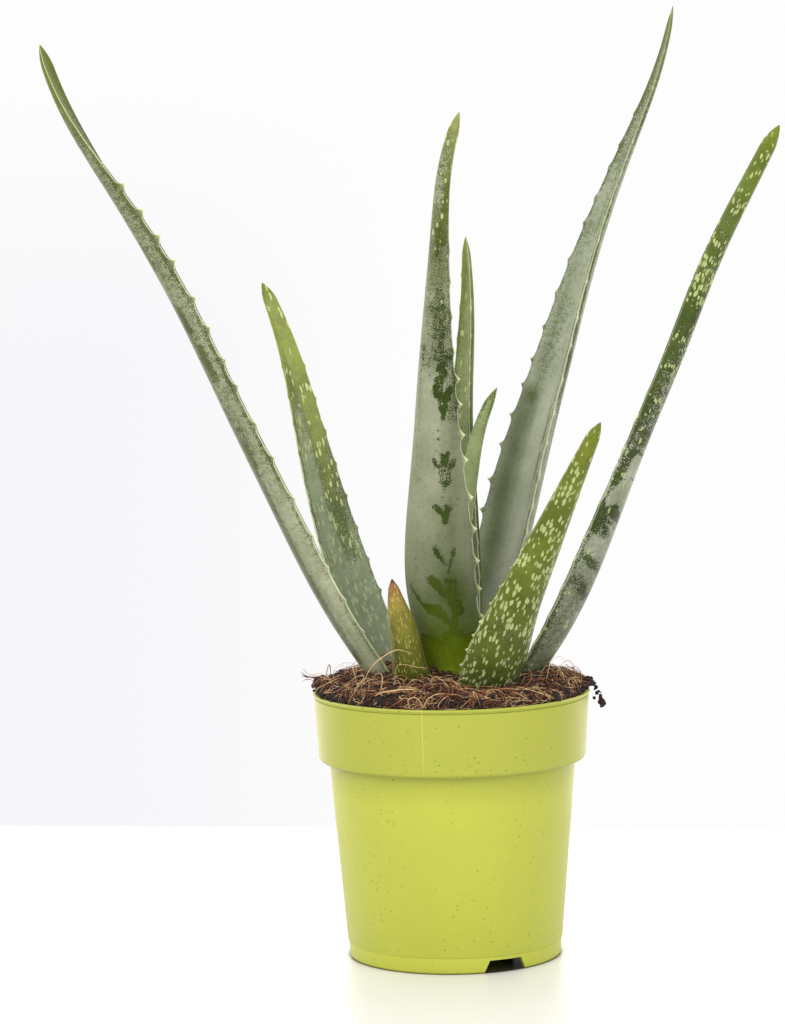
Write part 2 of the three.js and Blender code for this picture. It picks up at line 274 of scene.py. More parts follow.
class Tree:
    """Adds linked nodes to a shader tree, one call to a node."""

    def __init__(self, tree: Group) -> None:
        """Starts on a tree that is already there."""
        self.tree = tree

    def feed(self, socket: Socket, value: Value) -> None:
        """Sets an input to a number or a colour, or links it."""
        if isinstance(value, Socket):
            self.tree.links.new(value, socket)
        elif socket.type == "RGBA" and len(value) == 3:
            socket.default_value = (*value, 1.0)
        else:
            socket.default_value = value

    def node(self, kind: str, inputs: dict[str | int, Value], **settings: object) -> Node:
        """Adds a node.

        Args:
            kind: The node's type, without its ShaderNode prefix.
            inputs: What goes into each input, by name or place.
            settings: The node's own properties.

        Returns:
            The node.
        """
        made = self.tree.nodes.new("ShaderNode" + kind)
        for name, value in settings.items():
            setattr(made, name, value)
        for key, value in inputs.items():
            self.feed(made.inputs[key], value)
        return made

    def math(self, operation: str, first: Value, second: Value = 0.0, third: Value = 0.0) -> Socket:
        """A number worked out from others."""
        values = {0: first, 1: second, 2: third}
        return self.node("Math", values, operation=operation).outputs[0]

    def vector(self, operation: str, first: Value, second: Value) -> Socket:
        """A vector worked out from others."""
        made = self.node("VectorMath", {0: first, 1: second}, operation=operation)
        return made.outputs["Value" if operation in ("DOT_PRODUCT", "LENGTH") else "Vector"]

    def mix(self, share: Value, under: Value, over: Value) -> Socket:
        """One colour laid over another by a share."""
        inputs = {0: share, 6: under, 7: over}
        return self.node("Mix", inputs, data_type="RGBA").outputs[2]

    def between(self, value: Value, low: float, high: float, to: Span = (0.0, 1.0)) -> Socket:
        """A smooth step as value goes from low to high, held flat beyond them."""
        inputs = {"Value": value, 1: low, 2: high, 3: to[0], 4: to[1]}
        return self.node("MapRange", inputs, interpolation_type="SMOOTHSTEP").outputs[0]

    def noise(self, place: Value, scale: Value, detail: float = 2.0, rough: float = 0.5) -> Socket:
        """Cloudy noise, about 0.5 on average."""
        inputs = {"Vector": place, "Scale": scale, "Detail": detail, "Roughness": rough}
        return self.node("TexNoise", inputs).outputs[0]

    def uneven(self, place: Value, scale: Value, detail: float, rough: float = 0.5) -> Socket:
        """Cloudy noise, 0 on average."""
        return self.math("SUBTRACT", self.noise(place, scale, detail, rough), 0.5)

    def spots(
        self, cells: Node, share: Value, size: Value, sizes: Span, edge: Span
    ) -> tuple[Socket, Socket]:
        """Round spots in the middle of some cells.

        Args:
            cells: The scattered cells.
            share: How many of the cells have a spot.
            size: How big the spots are, in cells.
            sizes: The smallest spot's part of that size, and how much more the biggest has.
            edge: How far inside its rim a spot starts to show, and shows fully.

        Returns:
            The spots' mask, and a number that each spot has of its own.
        """
        parts = self.node("SeparateColor", {0: cells.outputs["Color"]}).outputs
        kept = self.math("LESS_THAN", parts[0], share)
        radius = self.math("MULTIPLY", size, self.math("MULTIPLY_ADD", parts[1], sizes[1], sizes[0]))
        inside = self.math("SUBTRACT", radius, cells.outputs["Distance"])
        return self.math("MULTIPLY", kept, self.between(inside, *edge)), parts[2]

    def cells(self, place: Value, scale: Value, flat: bool = False) -> Node:
        """Scattered cells: how far the nearest centre is, and a colour for each cell."""
        inputs = {"Vector": place, "Scale": scale, "Randomness": 1.0}
        return self.node("TexVoronoi", inputs, voronoi_dimensions="2D" if flat else "3D")

    def ramp(self, value: Value, stops: Strip) -> Socket:
        """Reads a colour off a strip.

        Args:
            value: Where to read it, 0 to 1.
            stops: The strip.

        Returns:
            The colour.
        """
        made = self.node("ValToRGB", {0: value})
        marks = made.color_ramp.elements
        while len(marks) < len(stops):
            marks.new(1.0)
        for mark, (place, colour) in zip(marks, stops):
            mark.position = place
            mark.color = (*colour, 1.0)
        return made.outputs[0]

    def attribute(self, name: str) -> Socket:
        """A number painted on the piece."""
        return self.node("Attribute", {}, attribute_name=name).outputs["Fac"]

    def place(self) -> Socket:
        """The point's own place, in metres."""
        return self.node("TexCoord", {}).outputs["Object"]

    def skin(self) -> Socket:
        """The point's place on the piece's own map, in metres."""
        return self.node("UVMap", {}, uv_map=SKIN_MAP).outputs[0]

    def bump(self, height: Value, depth: float, under: Value | None = None) -> Socket:
        """A normal that follows a height, in metres at a height of 1."""
        inputs = {"Height": height, "Distance": depth, "Strength": 1.0}
        if under is not None:
            inputs["Normal"] = under
        return self.node("Bump", inputs).outputs[0]

    def group(self, effect: Group, inputs: dict[str, Value]) -> Node:
        """Places a shared effect with this material's own values."""
        made = self.tree.nodes.new("ShaderNodeGroup")
        made.node_tree = effect
        for key, value in inputs.items():
            self.feed(made.inputs[key], value)
        return made


class Surface(Tree):
    """A material with one principled shader, whose inputs are fed by name."""

    def __init__(self, name: str) -> None:
        """Makes the material and its shader."""
        self.material = bpy.data.materials.new(name)
        self.material.use_nodes = True
        super().__init__(self.material.node_tree)
        self.shader = self.tree.nodes["Principled BSDF"]

    def set(self, **inputs: Value) -> Material:
        """Feeds the shader, with _ for each space in an input's name, and gives the material."""
        for name, value in inputs.items():
            self.feed(self.shader.inputs[name.replace("_", " ")], value)
        return self.material


class Effect(Tree):
    """A shader group with named inputs and outputs."""

    def __init__(self, name: str, inputs: dict[str, str], outputs: dict[str, str]) -> None:
        """Makes the group.

        Args:
            name: The group's name.
            inputs: Each input's name and kind: Float, Color or Vector.
            outputs: Each output's name and kind.
        """
        tree = bpy.data.node_groups.new(name, "ShaderNodeTree")
        super().__init__(tree)
        for direction, sockets in (("INPUT", inputs), ("OUTPUT", outputs)):
            for label, kind in sockets.items():
                tree.interface.new_socket(label, in_out=direction, socket_type="NodeSocket" + kind)
        self.given = tree.nodes.new("NodeGroupInput").outputs
        self.wanted = tree.nodes.new("NodeGroupOutput").inputs

    def give(self, **outputs: Socket) -> Group:
        """Feeds the group's outputs by name, and gives the group."""
        for name, value in outputs.items():
            self.feed(self.wanted[name], value)
        return self.tree


def fleck_effect() -> Group:
    """Scattered flecks, longer along the piece than across it, thinned out in cross bands."""
    wobble, wander = 600.0, (0.0008, 0.0012, 0.0)  # how the flecks' outlines wander, in metres
    effect = Effect(
        "flecks",
        {"Place": "Vector", "Across": "Float", "Along": "Float", "Size": "Float", "Share": "Float",
         "Banding": "Float"},
        {"Mask": "Float", "Tint": "Float"},
    )
    given = effect.given
    drift = effect.node("TexNoise", {"Vector": given["Place"], "Scale": wobble, "Detail": 1.0})
    moved = effect.node("VectorMath", {0: drift.outputs["Color"], 1: wander, 2: given["Place"]},
                        operation="MULTIPLY_ADD").outputs[0]
    spread = effect.node("CombineXYZ", {0: given["Across"], 1: given["Along"], 2: 1.0}).outputs[0]
    cells = effect.cells(effect.vector("DIVIDE", moved, spread), 1.0, flat=True)
    bands = effect.noise(effect.vector("MULTIPLY", given["Place"], (0.5, 1.0, 1.0)), 95.0, 1.0)
    banded = effect.math("MULTIPLY", given["Banding"], effect.between(bands, 0.42, 0.56, (-0.9, 0.3)))
    share = effect.math("MULTIPLY", given["Share"], effect.math("ADD", banded, 1.0))
    mask, tint = effect.spots(cells, share, given["Size"], (0.5, 0.7), (-0.04, 0.09))
    return effect.give(Mask=mask, Tint=tint)


def speck_effect(name: str, flat: bool) -> Group:
    """Tiny round specks of dirt, few and in loose drifts.

    Args:
        name: The group's name.
        flat: Whether they lie on a map, rather than through space.

    Returns:
        The group.
    """
    effect = Effect(name, {"Place": "Vector", "Scale": "Float", "Size": "Float", "Share": "Float"},
                    {"Mask": "Float"})
    given = effect.given
    cells = effect.cells(given["Place"], given["Scale"], flat)
    drift = effect.between(effect.noise(given["Place"], 45.0, 2.0), 0.4, 0.65, (0.15, 2.2))
    share = effect.math("MULTIPLY", given["Share"], drift)
    mask, _ = effect.spots(cells, share, given["Size"], (0.35, 0.9), (0.0, 0.04))
    return effect.give(Mask=mask)


def mottle_effect() -> Group:
    """Uneven lightness: broad clouds with finer ones on them, 0 on average."""
    effect = Effect("mottle", {"Place": "Vector", "Broad": "Float", "Fine": "Float"},
                    {"Level": "Float"})
    given = effect.given
    broad = effect.uneven(given["Place"], given["Broad"], 3.0)
    fine = effect.uneven(given["Place"], given["Fine"], 4.0, 0.6)
    return effect.give(Level=effect.math("MULTIPLY_ADD", fine, 0.6, broad))


def bloom_effect() -> Group:
    """A waxy bloom that thins out grain by grain where its density falls."""
    effect = Effect("bloom", {"Place": "Vector", "Density": "Float", "Grain": "Float"},
                    {"Mask": "Float", "Streak": "Float"})
    given = effect.given
    place = given["Place"]
    drawn_out = effect.vector("MULTIPLY", place, (1.0, 0.3, 1.0))
    level = given["Density"]
    for unevenness, weight in (
        (effect.uneven(place, given["Grain"], 2.0, 0.8), 3.0),  # grains
        (effect.uneven(place, 420.0, 3.0, 0.6), 1.1),  # patches
        (effect.uneven(drawn_out, 90.0, 2.0), 0.8),  # drifts down the leaf
    ):
        level = effect.math("MULTIPLY_ADD", unevenness, weight, level)
    hair = effect.noise(effect.vector("MULTIPLY", place, (1.0, 0.05, 1.0)), 500.0, 2.0)
    return effect.give(Mask=effect.between(level, 0.43, 0.57), Streak=hair)


@dataclass
class Effects:
    """The shader groups that several finishes use."""

    flecks: Group = field(default_factory=fleck_effect)
    specks: Group = field(default_factory=lambda: speck_effect("specks", False))
    dots: Group = field(default_factory=lambda: speck_effect("dots", True))
    mottle: Group = field(default_factory=mottle_effect)
    bloom: Group = field(default_factory=bloom_effect)


# ------------------------------------------------------------------- finishes

@dataclass(frozen=True)
class PotPlastic:
    """Satin lime plastic with faint clouds, specks of dirt, painted shade over the collar and a
    painted highlight down the mould seam.

    Heights and widths are in metres here, as a shader reads them.
    """

    colour: Colour = srgb(186, 192, 66)
    cloud: float = 0.94  # how bright the darker clouds are
    shade: float = 0.8  # painted shade: how bright the collar and the top of the body under it are
    painted_shade_over: Span = (0.070, 0.084)
    dirt: Colour = srgb(62, 54, 26)
    dirt_cover: float = 0.85
    # a painted highlight, a pale line down the seam's ridge
    seam_highlight: Colour = srgb(226, 214, 128)
    seam: float = math.radians(-13)
    seam_half: Span = (0.00015, 0.0004)
    seam_from: Span = (0.0865, 0.088)
    seam_cover: float = 0.32
    rough: float = 0.4

    def make(self, effects: Effects) -> Material:
        """The material."""
        s = Surface("lime_plastic")
        place = s.place()
        _, y, height = s.node("SeparateXYZ", {0: place}).outputs
        clouds = s.group(effects.mottle, {"Place": place, "Broad": 22.0, "Fine": 160.0}).outputs[0]
        lime = s.mix(s.between(clouds, -0.3, 0.3), self.dimmed(self.cloud), self.colour)
        # painted shade: darker over the collar and the top of the body under it
        lime = s.mix(s.between(height, *self.painted_shade_over), lime, self.dimmed(self.shade))
        # a painted highlight down the seam's ridge
        lime = s.mix(self.seam_highlight_mask(s, place, y, height), lime, self.seam_highlight)
        fine = s.group(effects.specks, {"Place": place, "Scale": 560.0, "Size": 0.17, "Share": 0.34})
        coarse = s.group(effects.specks,
                         {"Place": place, "Scale": 260.0, "Size": 0.085, "Share": 0.16})
        dirt = s.math("MAXIMUM", s.math("MULTIPLY", fine.outputs[0], 0.8), coarse.outputs[0])
        colour = s.mix(s.math("MULTIPLY", dirt, self.dirt_cover), lime, self.dirt)
        rough = s.math("MULTIPLY_ADD", clouds, 0.12, self.rough)
        grain = s.noise(place, 900.0, 2.0)
        return s.set(Base_Color=colour, Roughness=rough, Normal=s.bump(grain, 0.00002))

    def dimmed(self, share: float) -> Colour:
        """The plastic's colour at a share of its brightness."""
        return tuple(share * level for level in self.colour)

    def seam_highlight_mask(self, s: Surface, place: Socket, y: Socket, height: Socket) -> Socket:
        """Draws a painted highlight down the seam, a thin pale line down the front of the collar.

        Args:
            s: The material.
            place: The point's place.
            y: How far back it is.
            height: How high it is.

        Returns:
            How much of the painted highlight shows.
        """
        beside = s.vector("DOT_PRODUCT", place, (math.cos(self.seam), math.sin(self.seam), 0.0))
        line = s.between(s.math("ABSOLUTE", beside), *self.seam_half, (self.seam_cover, 0.0))
        in_front = s.math("MULTIPLY", line, s.math("LESS_THAN", y, 0.0))
        return s.math("MULTIPLY", in_front, s.between(height, *self.seam_from))


@dataclass(frozen=True)
class LeafSkin:
    """Aloe skin: green under a grey bloom, with flecks and a pale margin.

    greens runs from foot to tip, as shares of the length with the bare colour there.
    """

    name: str
    greens: Strip
    bloom: Colour = srgb(149, 150, 126)
    bloom_dark: Colour = srgb(132, 135, 107)
    grain: float = 1400.0
    fleck: Colour = srgb(180, 192, 128)
    fleck_across: float = 1.9
    fleck_along: float = 3.8
    fleck_size: float = 0.42
    banding: float = 0.5
    line: Colour = srgb(218, 226, 176)
    dirt: Colour = srgb(52, 50, 30)
    blotch: float = 0.35  # how dark the darker clouds of the bare skin are
    rim: float = 0.3  # how dark the half bare rim of a rubbed patch is
    rim_at: float = 0.42  # how thick the bloom is there
    rough_bare: float = 0.4
    rough_bloom: float = 0.55
    gloss: float = 0.3
    relief: float = 0.00012

    def make(self, effects: Effects) -> Material:
        """The material."""
        s = Surface(self.name)
        skin = s.skin()
        mottle = s.group(effects.mottle, {"Place": skin, "Broad": 70.0, "Fine": 500.0}).outputs[0]
        density = s.attribute("bloom")
        coat = s.group(effects.bloom, {"Place": skin, "Density": density, "Grain": self.grain})
        flecks = s.group(effects.flecks, {
            "Place": skin, "Across": self.fleck_across * MM, "Along": self.fleck_along * MM,
            "Size": self.fleck_size, "Share": s.attribute("flecked"), "Banding": self.banding,
        })
        bare = self.bare(s, mottle, density, flecks)
        waxy = self.waxy(s, mottle, coat, flecks)
        covered = s.math("MULTIPLY", coat.outputs["Mask"], s.attribute("wax"))
        colour = s.mix(covered, bare, waxy)
        dirt = s.group(effects.dots, {"Place": skin, "Scale": 260.0, "Size": 0.1, "Share": 0.02})
        colour = s.mix(s.math("MULTIPLY", dirt.outputs[0], 0.7), colour, self.dirt)
        colour = s.mix(s.attribute("line"), colour, self.line)
        rough = s.math("MULTIPLY_ADD", covered, self.rough_bloom - self.rough_bare, self.rough_bare)
        height = s.math("MULTIPLY_ADD", covered, 0.5, mottle)
        return s.set(Base_Color=colour, Roughness=rough, Specular_IOR_Level=self.gloss,
                     Normal=s.bump(height, self.relief))

    def bare(self, s: Surface, mottle: Socket, density: Socket, flecks: Node) -> Socket:
        """Colours the bare skin: green, darker in clouds and round rubbed patches, and flecked.

        Args:
            s: The material.
            mottle: Its uneven lightness.
            density: How thick the bloom lies.
            flecks: The flecks.

        Returns:
            The colour.
        """
        green = s.ramp(s.attribute("share"), self.greens)
        green = s.mix(s.between(mottle, -0.25, 0.25, (self.blotch, 0.0)), green, BLACK)
        off_rim = s.math("ABSOLUTE", s.math("SUBTRACT", density, self.rim_at))
        green = s.mix(s.between(off_rim, 0.06, 0.24, (self.rim, 0.0)), green, BLACK)
        pale = s.math("MULTIPLY_ADD", flecks.outputs["Tint"], 0.35, 0.6)
        return s.mix(s.math("MULTIPLY", flecks.outputs["Mask"], pale), green, self.fleck)

    def waxy(self, s: Surface, mottle: Socket, coat: Node, flecks: Node) -> Socket:
        """The colour of the bloom: streaked along the leaf, with the flecks faint under it."""
        streaks = s.math("MULTIPLY_ADD", coat.outputs["Streak"], 0.4, mottle)
        waxy = s.mix(s.between(streaks, -0.1, 0.5), self.bloom_dark, self.bloom)
        return s.mix(s.math("MULTIPLY", flecks.outputs["Mask"], 0.45), waxy, self.fleck)


@dataclass(frozen=True)
class Earthy:
    """Coir, peat, roots and bark: a strip of browns, picked by each bit's own tint."""

    name: str
    shades: Strip
    grain: float = 900.0
    relief: float = 0.0004
    rough: float = 0.85
    tint: float | None = None  # for a piece whose bits carry no tint of their own

    def make(self, effects: Effects) -> Material:
        """The material."""
        s = Surface(self.name)
        place = s.place()
        mottle = s.group(effects.mottle, {"Place": place, "Broad": 120.0, "Fine": self.grain})
        mottle = mottle.outputs[0]
        own = s.attribute("tint") if self.tint is None else self.tint
        shade = s.math("MULTIPLY_ADD", mottle, 0.6, own)
        return s.set(Base_Color=s.ramp(shade, self.shades), Roughness=self.rough,
                     Normal=s.bump(mottle, self.relief))


COIR_SHADES = strip(
    (0.0, 22, 13, 10), (0.25, 48, 26, 18), (0.5, 98, 51, 31), (0.72, 160, 101, 62),
    (1.0, 226, 194, 142))


# --------------------------------------------------------------------- studio

@dataclass
class Studio:
    """The camera, the pale floor and the soft light."""

    eye: Point = (-24.07, -1600.0, 348.7)
    pitch: float = 0.0972  # radians that the camera looks down
    roll: float = 0.0175  # radians that it leans
    lens: float = 131.3
    sensor: float = 36.0
    table_back: Point = (-141.0, 317.0, 0.0)  # a point on the table's far edge
    table_turn: float = math.radians(-7)
    table_fade: float = 14.0  # how far the far edge fades out over
    table_size: Span = (8000.0, 9000.0)
    table_whites: tuple[Colour, Colour] = ((0.72, 0.715, 0.71), (0.74, 0.735, 0.73))
    # painted shadow: the table's colour under the pot
    painted_shadow_colour: Colour = (0.05, 0.045, 0.03)
    painted_shadow_edge: Span = (45.2, 47.5)  # from the painted shadow under the pot to the white
    glow_over: Span = (46.0, 52.0)
    glow: Span = (0.08, 0.06)  # close to the pot, and away from it
    glow_reach: Span = (50.0, 250.0)
    glow_colour: Colour = (1.0, 0.995, 0.99)
    wall: Colour = (0.984, 0.984, 0.984)
    low_wall: Colour = (0.93, 0.923, 0.947)  # the band low down at the left
    low_wall_side: Span = (-0.08, 0.02)
    low_wall_top: Span = (-0.06, 0.03)
    light_colour: Colour = (1.0, 0.965, 0.95)
    bright_side: Point = (-0.8, -0.5, 0.3)
    dim: float = 0.56
    bright: float = 0.92
    behind: float = 1.5
    behind_from: Span = (0.1, 0.7)
    aim: Point = (0.0, 0.0, 0.15)
    # name, then place and width in metres, then watts
    lamps: tuple[tuple[str, Point, float, float], ...] = (
        ("key", (-0.8, -1.4, 1.2), 1.0, 16.0),
        ("fill", (1.2, -1.3, 0.8), 1.0, 10.0),
    )

    def camera(self) -> None:
        """Sets the camera where the photograph was taken from."""
        bpy.ops.object.camera_add(location=Vector(self.eye) * MM)
        camera = added()
        camera.name = "camera"
        right = Vector((1, 0, 0))
        up = Vector((0, math.sin(self.pitch), math.cos(self.pitch)))
        back = Vector((0, -math.cos(self.pitch), math.sin(self.pitch)))
        sine, cosine = math.sin(self.roll), math.cos(self.roll)
        turned = Matrix((cosine * right - sine * up, sine * right + cosine * up, back)).transposed()
        camera.rotation_euler = turned.to_euler()
        camera.data.lens = self.lens
        camera.data.sensor_width = self.sensor
        camera.data.clip_start, camera.data.clip_end = 0.1, 30.0
        bpy.context.scene.camera = camera

    def floor(self) -> None:
        """Lays the white table top, which the camera sees a little brighter than it is lit."""
        width, depth = self.table_size
        bpy.ops.mesh.primitive_plane_add(size=1.0)
        floor = added()
        floor.name = "table_top"
        floor.scale = (width * MM, depth * MM, 1.0)
        back = Vector(self.table_back) * MM
        outward = Vector((-math.sin(self.table_turn), math.cos(self.table_turn), 0.0))
        floor.location = back - outward * depth * MM / 2
        floor.rotation_euler = (0.0, 0.0, self.table_turn)
        bpy.ops.object.transform_apply(location=True, rotation=True, scale=True)
        floor.data.materials.append(self.table_white(outward, back.dot(outward)))

    def table_white(self, outward: Vector, edge: float) -> Material:
        """The table's finish.

        Args:
            outward: The way to its far edge.
            edge: How far off that edge is, in metres.

        Returns:
            The material, which fades out at the far edge and has a painted shadow under the pot.
        """
        s = Surface("white_table")
        place = s.place()
        away = s.vector("LENGTH", place, (0.0, 0.0, 0.0))
        white = s.mix(s.noise(place, 1.5, 2.0), *self.table_whites)
        # painted shadow under the pot
        white = s.mix(self.ring(s, away, self.painted_shadow_edge), self.painted_shadow_colour, white)
        glow = s.math("MULTIPLY", self.ring(s, away, self.glow_over),
                      self.ring(s, away, self.glow_reach, self.glow))
        seen = s.node("LightPath", {}).outputs["Is Camera Ray"]
        across = s.vector("DOT_PRODUCT", place, tuple(outward))
        shown = s.between(across, edge - self.table_fade * MM, edge, (1.0, 0.0))
        return s.set(Base_Color=white, Roughness=0.34, Alpha=shown, Emission_Color=self.glow_colour,
                     Emission_Strength=s.math("MULTIPLY", seen, glow))

    def ring(self, s: Surface, away: Socket, over: Span, to: Span = (0.0, 1.0)) -> Socket:
        """A step outwards from the pot, over a stretch in millimetres."""
        return s.between(away, over[0] * MM, over[1] * MM, to)

    def sky(self) -> None:
        """Surrounds the plant with a white cove, brightest to the front left."""
        world = bpy.data.worlds.new("studio")
        world.use_nodes = True
        world.node_tree.nodes.clear()
        sky = Tree(world.node_tree)
        heading = sky.node("TexCoord", {}).outputs["Generated"]
        x, y, z = sky.node("SeparateXYZ", {0: heading}).outputs
        low = sky.math("MULTIPLY", sky.between(x, *self.low_wall_side, (1.0, 0.0)),
                       sky.between(z, *self.low_wall_top, (1.0, 0.0)))
        seen = sky.node("Background", {"Color": sky.mix(low, self.wall, self.low_wall)})
        toward = sky.vector("DOT_PRODUCT", heading, tuple(unit(np.array(self.bright_side))))
        level = sky.node("MapRange", {"Value": toward, 1: -1.0, 2: 1.0, 3: self.dim, 4: self.bright})
        from_behind = sky.between(y, *self.behind_from, (0.0, self.behind))
        level = sky.math("ADD", level.outputs[0], from_behind)
        lit = sky.node("Background", {"Color": self.light_colour, "Strength": level})
        camera_ray = sky.node("LightPath", {}).outputs["Is Camera Ray"]
        blend = sky.node("MixShader", {0: camera_ray, 1: lit.outputs[0], 2: seen.outputs[0]})
        sky.node("OutputWorld", {"Surface": blend.outputs[0]})
        bpy.context.scene.world = world

    def light(self) -> None:
        """Adds the two soft lamps in front."""
        for name, spot, size, power in self.lamps:
            bpy.ops.object.light_add(type="AREA", location=spot)
            lamp = added()
            lamp.name = name
            lamp.data.size = size
            lamp.data.energy = power
            ray = Vector(self.aim) - Vector(spot)
            lamp.rotation_euler = ray.to_track_quat("-Z", "Y").to_euler()

    def build(self) -> None:
        """Sets up the whole studio."""
        self.camera()
        self.floor()
        self.sky()
        self.light()
        bpy.context.scene.view_settings.view_transform = "Standard"
        log.info("studio is set")


# ------------------------------------------------------------------------ pot

@dataclass
class Pot:
    """The moulded pot: a tapered body, a tall collar with a lip, and a stepped floor."""

    height: float = 115.0
    rim: float = 60.0
    wall: float = 1.2
    collar_foot: float = 57.8  # the collar's radius at its lower edge
    collar_bottom: float = 85.8  # how high that edge is
    corner: float = 1.8  # how round it is
    body_top: float = 53.2
    body_foot: float = 46.6
    foot: float = 46.1
    foot_height: float = 7.0
    foot_thickness: float = 2.3
    pad: float = 25.0  # the round part of the floor that it rests on
    pad_thickness: float = 1.4
    slope: float = 3.2  # how far out the floor takes to rise from the pad
    channel: float = 5.6  # how high the rest of the floor is
    lip_depth: float = 1.7
    lip_proud: float = 0.6
    groove: float = 0.5
    segments: int = 192

    def arc(
        self, centre: Span, radius: float, start: float, end: float, steps: int
    ) -> Outline:
        """Points round part of a circle in the outline, from one angle to another."""
        turns = np.radians(np.linspace(start, end, steps + 1))
        return [(centre[0] + radius * math.cos(t), centre[1] + radius * math.sin(t)) for t in turns]

    def outline(self) -> Outline:
        """Radius and height of each ring, from the pad's top over the lip to its underside."""
        floor = self.channel + self.wall
        shelf = self.collar_bottom + self.wall
        collar = self.rim - self.lip_proud
        lip_foot = self.height - self.lip_depth
        bead = 0.5 * (self.lip_depth - self.groove)
        inside = [
            (self.pad - 0.8, self.pad_thickness), (self.pad, self.pad_thickness + 0.2),
            (self.pad + self.slope, floor - 0.3), (self.pad + self.slope + 0.6, floor),
            (self.body_foot - self.wall - 2.0, floor),
            *self.arc((self.body_foot - self.wall - 1.5, floor + 1.5), 1.5, -60, 0, 3),
            (self.body_top - self.wall, shelf - 1.0), (self.body_top - self.wall + 0.3, shelf),
            (self.collar_foot - self.wall - 1.2, shelf + 0.3),
            (self.collar_foot - self.wall - 0.3, shelf + 1.2),
            (collar - self.wall, lip_foot), (collar - self.wall, self.height - 0.35),
            (collar - self.wall + 0.12, self.height - 0.1),
        ]
        lip = [
            (collar - self.wall + 0.35, self.height),
            *self.arc((self.rim - bead, self.height - bead), bead, 90, -75, 8),
            (collar + 0.02, lip_foot + 0.12), (collar - self.groove, lip_foot - 0.05),
            (collar - self.groove, lip_foot - 0.22), (collar - 0.03, lip_foot - 0.45),
        ]
        step = (self.collar_foot - self.corner, self.collar_bottom + self.corner)
        collar_foot = self.arc(step, self.corner, 0, -90, 8)
        under = [
            (self.body_top + 1.1, self.collar_bottom),
            *self.arc((self.body_top + 1.1, self.collar_bottom - 1.1), 1.1, 90, 180, 5),
        ]
        seam = self.foot_height
        body = [
            (self.body_foot + 0.05, seam + 0.35), (self.body_foot - 0.12, seam + 0.1),
            (self.body_foot - 0.2, seam - 0.08), (self.foot + 0.08, seam - 0.3),
            (self.foot - 0.12, 0.8), (self.foot - 0.3, 0.35), (self.foot - 0.55, 0.12),
            (self.foot - 0.9, 0.0),
        ]
        inner = self.foot - self.foot_thickness
        below = [
            (inner + 0.4, 0.0), (inner + 0.1, 0.2), (inner, 0.6), (inner, self.channel - 0.5),
            (inner - 0.5, self.channel), (self.pad + self.slope, self.channel),
            (self.pad + self.slope - 0.7, self.channel - 0.3), (self.pad - 0.4, 0.15),
            (self.pad - 0.7, 0.0),
        ]
        return [*inside, *lip, *collar_foot, *under, *body, *below]

    def cut(self, shell: Piece, cutter: Piece) -> None:
        """Takes a cutter's shape out of the shell."""
        modify(shell, "BOOLEAN", object=cutter, operation="DIFFERENCE", solver="EXACT")
        remove(cutter)

    def drain_holes(
        self, shell: Piece, count: int = 8, radius: float = 3.6, out: float = 35.5
    ) -> None:
        """Opens the round holes in the raised part of the floor.

        Args:
            shell: The pot's wall.
            count: How many holes.
            radius: A hole's radius.
            out: How far off the axis its middle is.
        """
        for index in range(count):
            turn = 2 * math.pi * index / count
            spot = (out * math.cos(turn) * MM, out * math.sin(turn) * MM, self.channel * MM)
            bpy.ops.mesh.primitive_cylinder_add(vertices=40, radius=radius * MM, depth=12 * MM,
                                                location=spot)
            self.cut(shell, added())

    def notches(self, shell: Piece, first: float = 27.0, count: int = 3) -> None:
        """Opens the gaps in the foot ring, wider at the bottom.

        Args:
            shell: The pot's wall.
            first: The angle of the first gap.
            count: How many gaps, evenly round the ring.
        """
        low, high, top, bottom = -1.0, 5.3, 15.0, 20.0
        depth, out, soft = 10.0, 45.0, 0.4
        for index in range(count):
            turn = math.radians(first + index * 360 / count)
            bpy.ops.mesh.primitive_cube_add(size=1.0)
            cutter = added()
            corners = coordinates(cutter.data)
            upper = corners[:, 2] > 0
            spread = bottom + (bottom - top) * -low / high
            corners[:, 0] *= np.where(upper, top, spread)
            corners[:, 1] = corners[:, 1] * depth - out
            corners[:, 2] = np.where(upper, high, low)
            move_vertices(cutter.data, corners * MM)
            cutter.data.transform(Matrix.Rotation(turn, 4, "Z"))
            modify(cutter, "BEVEL", width=soft * MM, segments=2)
            self.cut(shell, cutter)

    def witness(self, shell: Piece, azimuth: float = -13.0) -> None:
        """Raises the mould's thin witness line down the collar.

        Args:
            shell: The pot's wall.
            azimuth: The line's angle from the front.
        """
        width, proud, sunk, soft = 0.4, 0.14, 0.4, 0.12
        low = self.collar_bottom + self.corner * 0.8
        high = self.height - self.lip_depth - 0.4
        bpy.ops.mesh.primitive_cube_add(size=1.0)
        ridge = added()
        corners = coordinates(ridge.data)
        upper = corners[:, 2] > 0
        level = np.where(upper, high, low)
        straight = self.collar_bottom + self.corner
        share = (level - straight) / (self.height - straight)
        radius = self.collar_foot + (self.rim - self.lip_proud - self.collar_foot) * share
        corners[:, 0] *= width
        corners[:, 1] = -(radius + np.where(corners[:, 1] < 0, proud, -sunk))
        corners[:, 2] = level
        move_vertices(ridge.data, corners * MM)
        ridge.data.transform(Matrix.Rotation(math.radians(azimuth), 4, "Z"))
        modify(ridge, "BEVEL", width=soft * MM, segments=2)
        modify(shell, "BOOLEAN", object=ridge, operation="UNION", solver="EXACT")
        remove(ridge)

    def build(self, effects: Effects) -> None:
        """Makes the pot and dresses it."""
        shell = raised(self.outline(), self.segments)
        self.drain_holes(shell)
        self.notches(shell)
        self.witness(shell)
        settle(shell, "nursery_pot", PotPlastic().make(effects), ("pot",), smooth=35.0)


# --------------------------------------------------------------------- leaves

class Side(Enum):
    """The two margins of a leaf, as the way across it from the midrib."""

    PLUS = 1
    MINUS = -1


